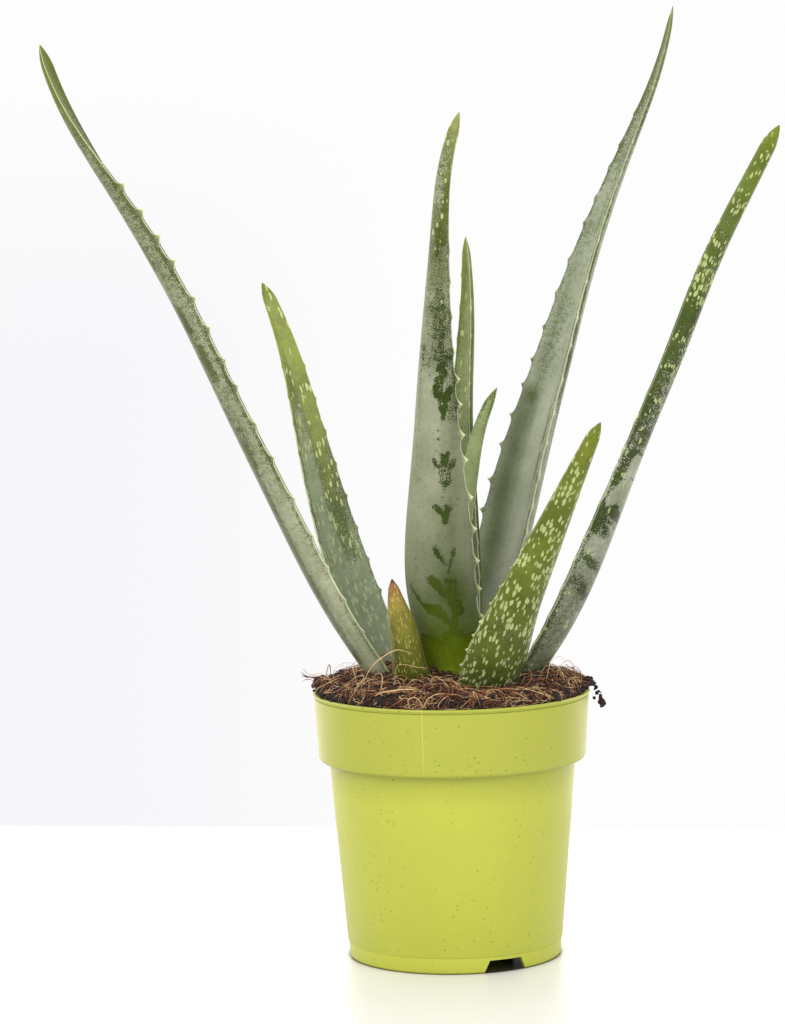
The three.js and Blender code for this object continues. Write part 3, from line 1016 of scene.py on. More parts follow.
@dataclass(frozen=True)
class Teeth:
    """The horny teeth down one margin, placed by how far up the leaf they stand."""

    side: Side
    stops: tuple[float, ...]
    reach: Span = (2.5, 2.5)  # of the lowest tooth and of the highest
    below: float = 3.6  # length of the short flank, towards the foot
    above: float = 6.0  # length of the long flank, towards the tip
    root: float = 1.6  # how far a tooth's root spreads onto the skin
    lean: float = 0.3  # how far a tooth points up the leaf, for its reach
    upturn: float = 20.0  # degrees that a tooth turns from the leaf's width towards its face

    HOOK = 2.2  # how hollow a tooth's flanks are along the leaf
    FLARE = 1.5  # and from its point down to the skin

    def push(self, up: np.ndarray, gap: np.ndarray, step: float) -> np.ndarray:
        """How far the skin is drawn out into teeth.

        Args:
            up: Distance up the leaf of each station, as a column.
            gap: Distance of each point of the skin from this margin.
            step: The distance between stations.

        Returns:
            The push at each point, in millimetres.
        """
        push = np.zeros_like(gap)
        for stop, reach in zip(self.stops, np.linspace(*self.reach, len(self.stops))):
            lag = up - round(stop / step) * step
            flank = np.where(lag < 0, -lag / self.below, lag / self.above)
            along = np.clip(1 - flank, 0, 1) ** self.HOOK
            down = np.clip(1 - gap / self.root, 0, 1) ** self.FLARE
            push = np.maximum(push, reach * (along * down))
        return push


@dataclass(frozen=True)
class WearAndLightStroke:
    """A stroke on the skin by its ends: mostly where the bloom has rubbed off, and at a few places
    painted light or shade.

    An end is how far up the leaf it is and how far across, from the middle of the back or, on
    the face, from the middle of the face. depth takes the bloom off grain by grain, film thins
    it evenly, and both add bloom where they are negative.
    """

    start: Span
    end: Span
    width: float
    depth: float = 1.0
    film: float = 0.0
    soft: float = 1.0  # how wide its soft edge is
    on_face: bool = False

    def fade(self, up: np.ndarray, across: np.ndarray) -> np.ndarray:
        """Finds how fully each point lies in the stroke.

        Args:
            up: How far up the leaf the points are.
            across: How far they are from the middle of their side.

        Returns:
            A share for each point, 1 inside the stroke.
        """
        (low, left), (high, right) = self.start, self.end
        run = np.array([high - low, right - left])
        length = max(float(run @ run), 1e-6)
        share = np.clip(((up - low) * run[0] + (across - left) * run[1]) / length, 0, 1)
        far = np.hypot(up - low - share * run[0], across - left - share * run[1])
        return np.clip(0.5 + (self.width / 2 - far) / self.soft, 0, 1)


@dataclass
class Skin:
    """A leaf's skin as rows of stations by columns round the section."""

    places: np.ndarray
    share: np.ndarray  # of the length, from the foot
    up: np.ndarray  # distance from the foot
    across: np.ndarray  # distance from the middle of the back, or of the face
    horn: np.ndarray  # 1 at the point of a tooth
    gap: np.ndarray  # distance from the nearer margin
    on_face: np.ndarray
    face_shift: np.ndarray  # from the middle of the face round to that of the back
    first_face: int  # the first column of the face


@dataclass
class Leaf:
    """One leaf: a rounded back and a channelled face between two toothed margins.

    side and away lean the leaf from the upright, foot to tip, and back is the direction round
    the pot that its rounded back faces. bloom, wax, flecked and line grade its finish the same
    way, foot to tip.
    """

    name: str
    node: str
    slot: str
    skin: LeafSkin
    foot: Point
    length: float
    side: tuple[float, ...]
    away: tuple[float, ...]
    back: tuple[float, ...]
    width: tuple[float, ...]
    teeth: tuple[Teeth, ...] = ()
    wear_and_light: tuple[WearAndLightStroke, ...] = ()
    bloom: tuple[float, ...] = (0.7, 0.7)
    wax: tuple[float, ...] = (1.0, 1.0)
    flecked: tuple[float, ...] = (0.0, 0.0)
    line: tuple[float, ...] = (0.6, 0.6)
    line_width: float = 0.4
    edge_bare: float = 0.3  # how much bloom is missing just beside the margins
    step: float = 0.6
    facet: float = 10.0  # the longest step round the back, in degrees
    tip: float = 0.06  # the share of the length that the point takes

    CURL = math.radians(7)  # how far the back runs on past the widest line
    SEAT = 0.35  # where the midrib lies in the thickness
    THICKNESS = (0.26, 0.38, 0.52)  # for the width, foot to tip
    CHANNEL = (0.5, 0.4, 0.25)  # how hollow the face is, for the thickness
    FIRST_TURN = math.radians(1.6)  # the step round the back beside a margin
    FIRST_INWARD = 0.03  # the step across the face beside a margin
    TIP_ROUND = (1.6, 0.8)  # the powers that shape the point
    EDGE_AT = 1.0  # where the strip of thin bloom beside a margin lies
    EDGE_REACH = 0.8
    FACE_APART = 500.0  # how far the map keeps the face from the back

    def section(self) -> tuple[np.ndarray, np.ndarray]:
        """The stops round a section: angles over the back, then shares across the face."""
        low = growing(self.CURL, self.FIRST_TURN, 1.3)
        high = growing(math.pi / 2, self.FIRST_TURN, 1.28, math.radians(self.facet))
        quarter = np.concatenate([-low[::-1], high[1:]])
        turns = np.concatenate([quarter, math.pi - quarter[::-1][1:]])
        inward = growing(1.0, self.FIRST_INWARD, 1.4)[1:]
        return turns, np.concatenate([-1 + inward, 1 - inward[::-1][1:]])

    def midrib(self, count: int) -> np.ndarray:
        """Follows the middle of the leaf by small steps from its foot.

        Args:
            count: How many steps.

        Returns:
            The foot and the end of each step, in millimetres.
        """
        share = (np.arange(count) + 0.5) / count
        slopes = [np.tan(np.radians(graded(values, share))) for values in (self.side, self.away)]
        steps = unit(np.stack([*slopes, np.ones(count)], -1)) * self.length / count
        return np.array(self.foot) + np.concatenate([np.zeros((1, 3)), np.cumsum(steps, 0)])

    def roll(self, count: int) -> Skin:
        """Works out the leaf's whole skin.

        Args:
            count: How many steps from foot to tip.

        Returns:
            The skin. Its last column closes on its first.
        """
        turns, face = self.section()
        share = np.linspace(0, 1, count + 1)
        rib = self.midrib(count)
        along = unit(np.gradient(rib, axis=0))
        facing = np.radians(graded(self.back, share))
        out = np.stack([np.cos(facing), np.sin(facing), np.zeros_like(facing)], -1)
        out = unit(out - (out * along).sum(-1, keepdims=True) * along)
        across = np.cross(out, along)
        in_tip = np.clip((share - 1 + self.tip) / self.tip, 0, 1)
        width = graded(self.width, share) * (1 - in_tip ** self.TIP_ROUND[0]) ** self.TIP_ROUND[1]
        thickness = width * graded(self.THICKNESS, share)
        channel = graded(self.CHANNEL, share)[:, None]
        level = np.concatenate([
            np.sin(turns) + 0 * channel,
            -math.sin(self.CURL) + channel * (1 - face ** 2),
            np.sin(turns[:1]) + 0 * channel,
        ], 1)
        sideways = np.concatenate([np.cos(turns), math.cos(self.CURL) * face, np.cos(turns[:1])])
        x = sideways * width[:, None] / 2
        y = (level - self.SEAT) * thickness[:, None]
        lengths = np.hypot(np.diff(x, axis=1), np.diff(y, axis=1))
        arc = np.concatenate([np.zeros((count + 1, 1)), np.cumsum(lengths, 1)], 1)
        places = rib[:, None] + across[:, None] * x[..., None] + out[:, None] * y[..., None]
        up = (share * self.length)[:, None]
        gaps = {side: self.gap(arc, turns, side) for side in Side}
        horn = np.zeros_like(x)
        for row in self.teeth:
            push = row.push(up, gaps[row.side], self.length / count)
            turn = math.radians(row.upturn)
            aside = across * row.side.value * math.cos(turn) - out * math.sin(turn)
            places += aside[:, None] * push[..., None]
            places += along[:, None] * (row.lean * push)[..., None]
            horn = np.maximum(horn, (push / max(row.reach)) ** 2)
        first_face = len(turns)
        middle = arc[:, [first_face // 2]]
        middle_face = arc[:, [first_face + len(face) // 2]]
        columns = np.arange(arc.shape[1])
        on_face = (columns >= first_face) & (columns < arc.shape[1] - 1)
        return Skin(
            places=places, share=share[:, None] + 0 * x, up=up + 0 * x,
            across=arc - np.where(on_face, middle_face, middle), horn=horn,
            gap=np.minimum(gaps[Side.PLUS], gaps[Side.MINUS]), on_face=on_face + 0 * x,
            face_shift=middle - middle_face, first_face=first_face,
        )

    def gap(self, arc: np.ndarray, turns: np.ndarray, side: Side) -> np.ndarray:
        """Distance of each point of the skin from one margin, the shorter way round."""
        margin = 0.0 if side is Side.PLUS else math.pi
        apart = abs(arc - arc[:, [np.argmin(abs(turns - margin))]])
        return np.minimum(apart, arc[:, -1:] - apart)

    def coat(self, skin: Skin) -> tuple[np.ndarray, np.ndarray]:
        """Works out the bloom, as it grew, as it has rubbed off, and with the light and shade painted
        on it.

        Args:
            skin: The rolled skin.

        Returns:
            How thick the bloom lies at each point, and how well it covers there.
        """
        beside = np.exp(-((skin.gap - self.EDGE_AT) / self.EDGE_REACH) ** 2)
        density = graded(self.bloom, skin.share) - self.edge_bare * beside
        wax = graded(self.wax, skin.share)
        for wear_and_light_stroke in self.wear_and_light:
            own_side = skin.on_face if wear_and_light_stroke.on_face else 1 - skin.on_face
            here = wear_and_light_stroke.fade(skin.up, skin.across) * own_side
            density = density - here * wear_and_light_stroke.depth
            wax = wax - here * wear_and_light_stroke.film
        return density, np.clip(wax, 0, 1)

    def build(self, effects: Effects) -> None:
        """Rolls a flat grid into the leaf and dresses it."""
        count = round(self.length / self.step)
        skin = self.roll(count)
        columns = skin.up.shape[1] - 1
        bpy.ops.mesh.primitive_grid_add(x_subdivisions=columns, y_subdivisions=count, size=2.0)
        leaf = added()
        mesh = leaf.data
        flat = (coordinates(mesh)[:, :2] + 1) / 2
        column = np.rint(flat[:, 0] * columns).astype(int)
        row = np.rint(flat[:, 1] * count).astype(int)
        self.map_skin(mesh, skin, row, column)
        move_vertices(mesh, skin.places[row, column] * MM)
        edge = graded(self.line, skin.share) * np.exp(-(skin.gap / self.line_width) ** 4)
        density, wax = self.coat(skin)
        painted = {
            "share": skin.share,
            "bloom": density,
            "wax": wax,
            "flecked": graded(self.flecked, skin.share),
            "line": np.clip(edge + skin.horn, 0, 0.95),
        }
        for label, values in painted.items():
            paint(mesh, label, values[row, column])
        with editing(leaf):
            bpy.ops.mesh.remove_doubles(threshold=1e-7)
            bpy.ops.mesh.select_all(action="DESELECT")
            bpy.ops.mesh.select_non_manifold()
            bpy.ops.mesh.edge_face_add()
            bpy.ops.mesh.select_all(action="SELECT")
            bpy.ops.mesh.normals_make_consistent(inside=False)
        settle(leaf, self.name, self.skin.make(effects), (self.node,), smooth=75.0)

    def map_skin(self, mesh: Mesh, skin: Skin, row: np.ndarray, column: np.ndarray) -> None:
        """Lays the leaf's own map on the flat grid, in metres.

        Back and face are each measured across from their own middle, with the face set well
        apart, so that the same mark doesn't come twice.

        Args:
            mesh: The grid, before its seam is closed.
            skin: The rolled skin.
            row: Each vertex's station.
            column: Each vertex's column.
        """
        corners = np.empty(len(mesh.loops), int)
        mesh.loops.foreach_get("vertex_index", corners)
        rows, columns = row[corners], column[corners]
        lowest = columns.reshape(-1, 4).min(1).repeat(4)
        face_side = lowest >= skin.first_face - 1
        from_back = skin.across - skin.on_face * skin.face_shift
        apart = np.where(face_side, skin.face_shift[rows, 0] + self.FACE_APART, 0)
        across = from_back[rows, columns] + apart
        spots = np.stack([across, skin.up[rows, 0]], -1) * MM
        layer = mesh.uv_layers.active
        layer.name = SKIN_MAP
        layer.data.foreach_set("uv", spots.astype(np.float32).ravel())


def young_leaves() -> list[Leaf]:
    """The two slender green leaves at the back of the heart."""
    plain = LeafSkin(
        "leaf_plain_green", bloom=srgb(164, 178, 130), bloom_dark=srgb(146, 161, 110),
        greens=strip((0.0, 138, 154, 84), (0.7, 132, 148, 74), (0.9, 112, 130, 44),
                     (1.0, 104, 122, 34)))
    lit = LeafSkin(
        "leaf_lit_green", bloom=srgb(140, 150, 106), bloom_dark=srgb(116, 128, 80),
        greens=strip((0.0, 66, 84, 30), (0.45, 78, 96, 34), (0.8, 112, 130, 46), (1.0, 124, 138, 38)))
    return [
        Leaf("young_leaf", "leaf_young_back", "leaf_green", plain,
             foot=(5, 0, 104), length=145, side=(-2, -8, 14, 10, 30), away=(3, 5, 6),
             back=(70, 76, 80), width=(7, 9, 8.5, 7, 3.5), bloom=(1.4, 1.4, 1.3, 0.6),
             wax=(0.86, 0.8), line=(0.5, 0.5), line_width=0.3),
        Leaf("slender_leaf", "leaf_slender_back", "leaf_green", lit,
             foot=(6, 4, 103), length=209, side=(11, 0, -3, 4, -4), away=(10, 7, 4),
             back=(40, 36, 32), width=(9, 11, 12, 10, 3.5), tip=0.04,
             bloom=(0.3, 0.3, 0.5, 0.66, 0.3), wax=(0.6, 0.7, 0.8),
             teeth=(Teeth(Side.PLUS, tuple(range(60, 196, 15)), (1.6, 0.7), above=5.0, root=1.2),
                    Teeth(Side.MINUS, tuple(range(52, 196, 14)), (1.6, 0.7), above=5.0, root=1.2)),
             flecked=(0.0, 0.05, 0.12, 0.05), line=(0.6, 0.5, 0.4), line_width=0.3),
    ]


def centre_leaf() -> Leaf:
    """The broad leaf in front, with its rubbed patches."""
    skin = LeafSkin(
        "leaf_centre_bloom", fleck_size=0.3, grain=1550.0, gloss=0.1, bloom=srgb(163, 166, 141),
        bloom_dark=srgb(144, 150, 121),
        # the greens grow paler towards the foot: partly its own colour, partly painted light shining
        # through the foot
        greens=strip((0.0, 196, 210, 74), (0.03, 176, 192, 56), (0.07, 150, 168, 44),
                     (0.12, 112, 132, 24), (0.16, 84, 102, 14), (0.21, 70, 88, 16),
                     (0.28, 58, 74, 18), (0.6, 56, 72, 22), (0.85, 90, 103, 38), (1.0, 152, 158, 90)))
    wear_and_light = (
        # broad soft bands, greener low down and to the right
        WearAndLightStroke((60, 6), (40, 5), 16, 0, film=0.2, soft=12),
        WearAndLightStroke((56, -8), (42, -4), 9, 0, film=0.12, soft=8),
        WearAndLightStroke((150, 9.5), (62, 9), 8, 0, film=0.3, soft=7),
        WearAndLightStroke((100, 3), (66, 2), 5, 0, film=0.14, soft=8),
        WearAndLightStroke((182, 2), (163, 3), 11, 0.26, film=0.26, soft=7),
        WearAndLightStroke((224, 0), (196, 2), 9, 0.08, film=0.5, soft=6),
        # the green band near the tip, then the grainy middle
        WearAndLightStroke((241, 2.4), (212, 2.9), 2.6, 0.5, soft=2), WearAndLightStroke((219, -0.1), (207, 0.4), 0.9, 0.6),
        WearAndLightStroke((226, 1.8), (176, 1.5), 6, 0.12, soft=6), WearAndLightStroke((190, 3), (164, 4), 5, 0.2, soft=4),
        # the highest patch: a blob over a V, with a pale vein
        WearAndLightStroke((159.5, 3.8), (156, 4.8), 3, 0.62, soft=1.6),
        WearAndLightStroke((154, 3.2), (148, 3.8), 3.8, 0.7, soft=1.4), WearAndLightStroke((151, 1.4), (147, 2), 2, 0.7),
        WearAndLightStroke((150, 8.2), (145.5, 6.2), 2.6, 0.85), WearAndLightStroke((147, 4.6), (142, 5), 3.6, 0.8, soft=1.4),
        WearAndLightStroke((142.6, 5.1), (137.8, 5.1), 1.6, 0.9),
        WearAndLightStroke((152.5, 5.6), (143.5, 4.7), 0.6, -0.9, soft=0.6),
        WearAndLightStroke((164, 8), (138, 9), 5, 0.3, soft=3), WearAndLightStroke((172, 11), (136, 13), 3, 0.3, soft=3),
        WearAndLightStroke((168, -4.2), (160, -4.4), 1.6, 0.5, soft=2),
        WearAndLightStroke((158, -5.4), (132, -6.2), 0.8, 0.5, soft=1.2), WearAndLightStroke((129, 3.1), (129, 3.2), 1.1),
        WearAndLightStroke((132.5, 3), (132.5, 3.1), 0.7), WearAndLightStroke((124, 2), (124, 2.1), 0.7),
        # the second: a dark heart, two side lobes and a stippled tail
        WearAndLightStroke((122, 4.8), (118.8, 5.2), 1.9, 0.9), WearAndLightStroke((122.8, 7.2), (119.4, 6.8), 1.7, 0.9),
        WearAndLightStroke((120, 1.6), (117.2, 2.6), 2.2, 0.62), WearAndLightStroke((119.6, 9.8), (117.4, 9.4), 2.6, 0.66),
        WearAndLightStroke((116.4, 6.2), (111, 6.4), 5.6, 0.5, soft=1.6),
        WearAndLightStroke((110, 6.2), (104, 5.4), 1.8, 0.34, soft=1.6),
        # the third
        WearAndLightStroke((100, 1.8), (99.2, 3.8), 2.6, 0.72), WearAndLightStroke((100, 6.8), (99, 8.2), 2.8, 0.64),
        WearAndLightStroke((98.2, 3.2), (96.4, 6.4), 2.4, 0.8), WearAndLightStroke((97, 6.6), (93.8, 6.2), 2.8, 0.95),
        # the fourth, a Y
        WearAndLightStroke((81.8, 1.8), (79, 3.2), 2.4, 0.75), WearAndLightStroke((79, 3.4), (75.2, 6), 1.6, 0.7),
        WearAndLightStroke((81.8, 10), (79.8, 9.8), 2.4, 0.58), WearAndLightStroke((79.6, 9.6), (71.4, 7.2), 1.7, 0.58),
        # the lower ones, which run together
        WearAndLightStroke((68, -0.2), (66.2, 1.8), 4.2, 1.1, soft=1.6), WearAndLightStroke((66, 1.8), (62.6, 3.6), 2.2, 1.1),
        WearAndLightStroke((68, 5.8), (67.2, 9.2), 2, 0.6), WearAndLightStroke((67, 9.6), (64.6, 9.3), 2, 0.75),
        WearAndLightStroke((65, 8.4), (57, 7.4), 2, 1.1), WearAndLightStroke((64, 2.8), (60, 5.2), 1.1, 0.8),
        WearAndLightStroke((64.4, -11.8), (59.5, -7.6), 1.4, 0.7), WearAndLightStroke((59.6, -7.6), (57, -5.6), 1.6, 0.8),
        WearAndLightStroke((56.4, -5), (56, 2), 2.2, 1.2), WearAndLightStroke((54.6, -2.8), (52.6, 2.6), 3.2, 1.2),
        WearAndLightStroke((52.4, 1.4), (49, 4.2), 2, 1), WearAndLightStroke((57.4, 8.4), (53, 9.4), 4.6, 0.75),
        WearAndLightStroke((57.6, 11), (52, 11), 0.9, 1.2), WearAndLightStroke((52.4, 8.2), (42, 5), 2.2, 1.1),
        WearAndLightStroke((51, 3.6), (46, 5.6), 1.3, 1),
        # the bare foot, crisp along its upper edge
        WearAndLightStroke((20, -12), (20, 12), 43, 1.6, soft=1.2), WearAndLightStroke((35, -22), (35, -13), 14, 0.8, soft=2),
        WearAndLightStroke((43.2, -9.5), (42, -4.5), 1.8, 1.2, soft=1.2),
        WearAndLightStroke((43, 2), (43.4, 8.5), 2.2, 1.2, soft=1.2),
        WearAndLightStroke((41, -2.6), (41.2, 1), 1.4, -1.2, soft=1),
        # painted light: a pale strip of bloom up one flank of the foot, where light shines through it
        WearAndLightStroke((38, -9), (10, -5), 3, -1.7, film=-0.2, soft=6),
    )
    stops = (32, 46, 60, 74, 88, 102, 118, 129, 142, 153)
    return Leaf(
        "centre_leaf", "leaf_centre_front", "leaf_bloomed", skin,
        foot=(4, -7, 101), length=267, side=(-2, -12, -1, 0, 1, 3, 5, 22), away=(-12, -8, -6),
        back=(246, 250, 250), width=(20.5, 31.5, 19.5, 9.5, 4.2), tip=0.035, facet=3.6,
        teeth=(Teeth(Side.MINUS, stops, (2.8, 2.4)),
               Teeth(Side.MINUS, (165, 180, 195, 208), (1.3, 0.5)),
               Teeth(Side.PLUS, tuple(range(38, 215, 14)), (0.5, 0.3))),
        wear_and_light=wear_and_light, bloom=(1.0, 1.0, 0.99, 0.97, 0.84, 0.72, 0.12),
        wax=(0.16, 0.18, 0.38, 0.64, 0.78, 0.86, 0.88, 0.92, 0.94, 0.8),
        flecked=(0, 0, 0, 0, 0.05, 0.2, 0.4), line=(0.65, 0.65, 0.5, 0.2), line_width=0.32)


def tall_leaf() -> Leaf:
    """The tallest leaf, which shows its channelled face."""
    skin = LeafSkin(
        "leaf_tall_bloom", grain=1700.0, bloom=srgb(164, 171, 148), bloom_dark=srgb(144, 153, 126),
        greens=strip((0.0, 76, 92, 46), (0.5, 80, 96, 44), (0.85, 98, 114, 46), (1.0, 108, 120, 50)))
    line_stops = (40, 55, 70, 86, 98, 112, 128, 142, 157, 174, 187, 204, 224, 242, 256, 272, 298, 316)
    edge_stops = (40, 54, 68, 82, 96, 110, 126, 140, 154, 166, 182, 198, 214, 232, 244, 259, 270, 286)
    wear_and_light = (
        # green down the far third of the face, with less bloom there and partly painted shade; a pale
        # stripe of bloom down the near one, a painted highlight
        WearAndLightStroke((20, -10), (150, -8), 10, 0, film=0.62, soft=6, on_face=True),
        WearAndLightStroke((150, -6.5), (230, -5), 5, 0.2, film=0.25, soft=4, on_face=True),
        WearAndLightStroke((170, 1), (300, 0), 9, 0.16, soft=5, on_face=True),
        WearAndLightStroke((60, 5), (150, 4), 7, -0.3, film=-0.3, soft=5, on_face=True),
        # dark scratches beside the near margin
        WearAndLightStroke((147, 10.2), (129, 10.8), 0.8, 0.9, on_face=True),
        WearAndLightStroke((124, 11), (112, 11.6), 0.9, 0.9, on_face=True),
        WearAndLightStroke((108, 12.2), (97, 12.8), 0.8, 0.9, on_face=True),
        WearAndLightStroke((150, 8), (100, 9.4), 1.8, 0.4, soft=1.5, on_face=True),
        # the stripe of bare green on the back, beside the near margin
        WearAndLightStroke((90, -14.4), (170, -12.6), 2.2, 0.5, soft=1.4),
        WearAndLightStroke((170, -12.6), (300, -6.6), 2, 0.5, soft=1.4),
    )
    return Leaf(
        "tall_leaf", "leaf_tall_right", "leaf_bloomed", skin,
        foot=(7, 6, 99), length=338, side=(11, 15, 15, 18, 18, 22, 23, 10), away=(22, 14, 10),
        back=(42, 38, 20), width=(16, 29.5, 21, 10.5, 2.6), tip=0.03,
        teeth=(Teeth(Side.PLUS, line_stops, (2.2, 1.0)),
               Teeth(Side.MINUS, edge_stops, (4.2, 0.7), root=2.2, upturn=48.0)),
        wear_and_light=wear_and_light, facet=6.0, bloom=(0.9, 0.98, 0.92, 0.88, 0.84, 0.62, 0.3),
        wax=(0.55, 0.8, 0.96, 0.98, 0.95), flecked=(0, 0, 0, 0.02, 0.06),
        line=(0.7, 0.65, 0.6, 0.15), line_width=0.4)


def left_leaves() -> list[Leaf]:
    """The short leaf at the back left and the long one that leans out past it."""
    dashed = LeafSkin(
        "leaf_dashed", fleck_across=1.4, fleck_along=4.8, fleck=srgb(206, 213, 152), fleck_size=0.36,
        bloom=srgb(158, 169, 144), bloom_dark=srgb(136, 149, 120),
        greens=strip((0.0, 96, 110, 66), (0.35, 102, 119, 50), (0.65, 132, 145, 68),
                     (0.94, 154, 166, 78), (1.0, 118, 132, 40)))
    long_skin = LeafSkin(
        "leaf_left_bloom", grain=1800.0, bloom=srgb(167, 171, 144), bloom_dark=srgb(134, 141, 108),
        greens=strip((0.0, 94, 106, 58), (0.5, 84, 97, 44), (0.85, 88, 104, 38), (1.0, 104, 120, 36)))
    far_stops = (40, 56, 72, 88, 104, 122, 141, 157, 175, 187, 202, 216, 233, 245, 258, 271)
    near_stops = (46, 64, 82, 100, 118, 136, 154, 172, 186, 202, 218, 230, 244, 256, 268)
    return [
        Leaf("short_left_leaf", "leaf_left_short", "leaf_dashed", dashed,
             foot=(-9, 7, 97), length=212, side=(-41, -23, -15, -13, -23), away=(20, 10, 6),
             back=(128, 116, 110), width=(14, 21, 18, 11.5, 5), tip=0.04,
             teeth=(Teeth(Side.PLUS, tuple(range(36, 180, 15)), (1.8, 0.8), above=5.0),
                    Teeth(Side.MINUS, tuple(range(30, 180, 13)), (1.3, 0.6), above=5.0)),
             wear_and_light=(WearAndLightStroke((190, 2.5), (85, 4.5), 6, 0.42, soft=5, on_face=True),
                   WearAndLightStroke((150, -4), (60, -4), 4, -0.3, soft=4, on_face=True)),
             bloom=(1.0, 0.96, 0.7, 0.42, 0.1), wax=(0.8, 0.84, 0.8, 0.7),
             flecked=(0.35, 0.5, 0.45, 0.35, 0.1), line=(0.8, 0.8, 0.5), line_width=0.33),
        Leaf("long_left_leaf", "leaf_left_long", "leaf_bloomed", long_skin,
             foot=(-10.5, -1, 96), length=340, side=(-42, -32, -25, -25, -24, -29, -31, -14),
             away=(-10, -6, -3), back=(208, 208, 206, 199, 148), width=(14, 18, 14.5, 11.5, 5.5),
             tip=0.03, facet=6.0,
             teeth=(Teeth(Side.MINUS, far_stops, (0.7, 3.8), above=5.0, root=2.0, upturn=50.0),
                    Teeth(Side.PLUS, near_stops, (2.0, 1.6), above=5.0, upturn=40.0)),
             wear_and_light=(
                 WearAndLightStroke((215, -1), (150, 0.5), 4, 0.24, soft=3),
                 WearAndLightStroke((150, 0), (45, -0.5), 5.5, 0.5, film=0.3, soft=3),
                 WearAndLightStroke((110, 0), (50, 0), 10, 0.1, film=0.25, soft=6),
                 WearAndLightStroke((330, -6), (230, -6), 4, 0.3, soft=3),
                 # the bare patches half way up
                 WearAndLightStroke((196, 3.2), (182, 3.6), 3.4, 0.5, soft=1.4),
                 WearAndLightStroke((214, 2), (205, 2.6), 2, 0.5, soft=1.2),
                 WearAndLightStroke((246, 0), (236, 1), 2.4, 0.45, soft=1.4),
                 WearAndLightStroke((176, -3), (166, -2), 2.2, 0.4, soft=1.4),
                 WearAndLightStroke((158, 4), (140, 3), 2.4, 0.35, soft=2),
             ),
             bloom=(0.95, 0.95, 0.88, 0.74, 0.6, 0.55, 0.48, 0.0),
             wax=(0.9, 0.98, 0.9, 0.78, 0.68, 0.64), line=(0.8, 0.8, 0.7, 0.5), line_width=0.26),
    ]


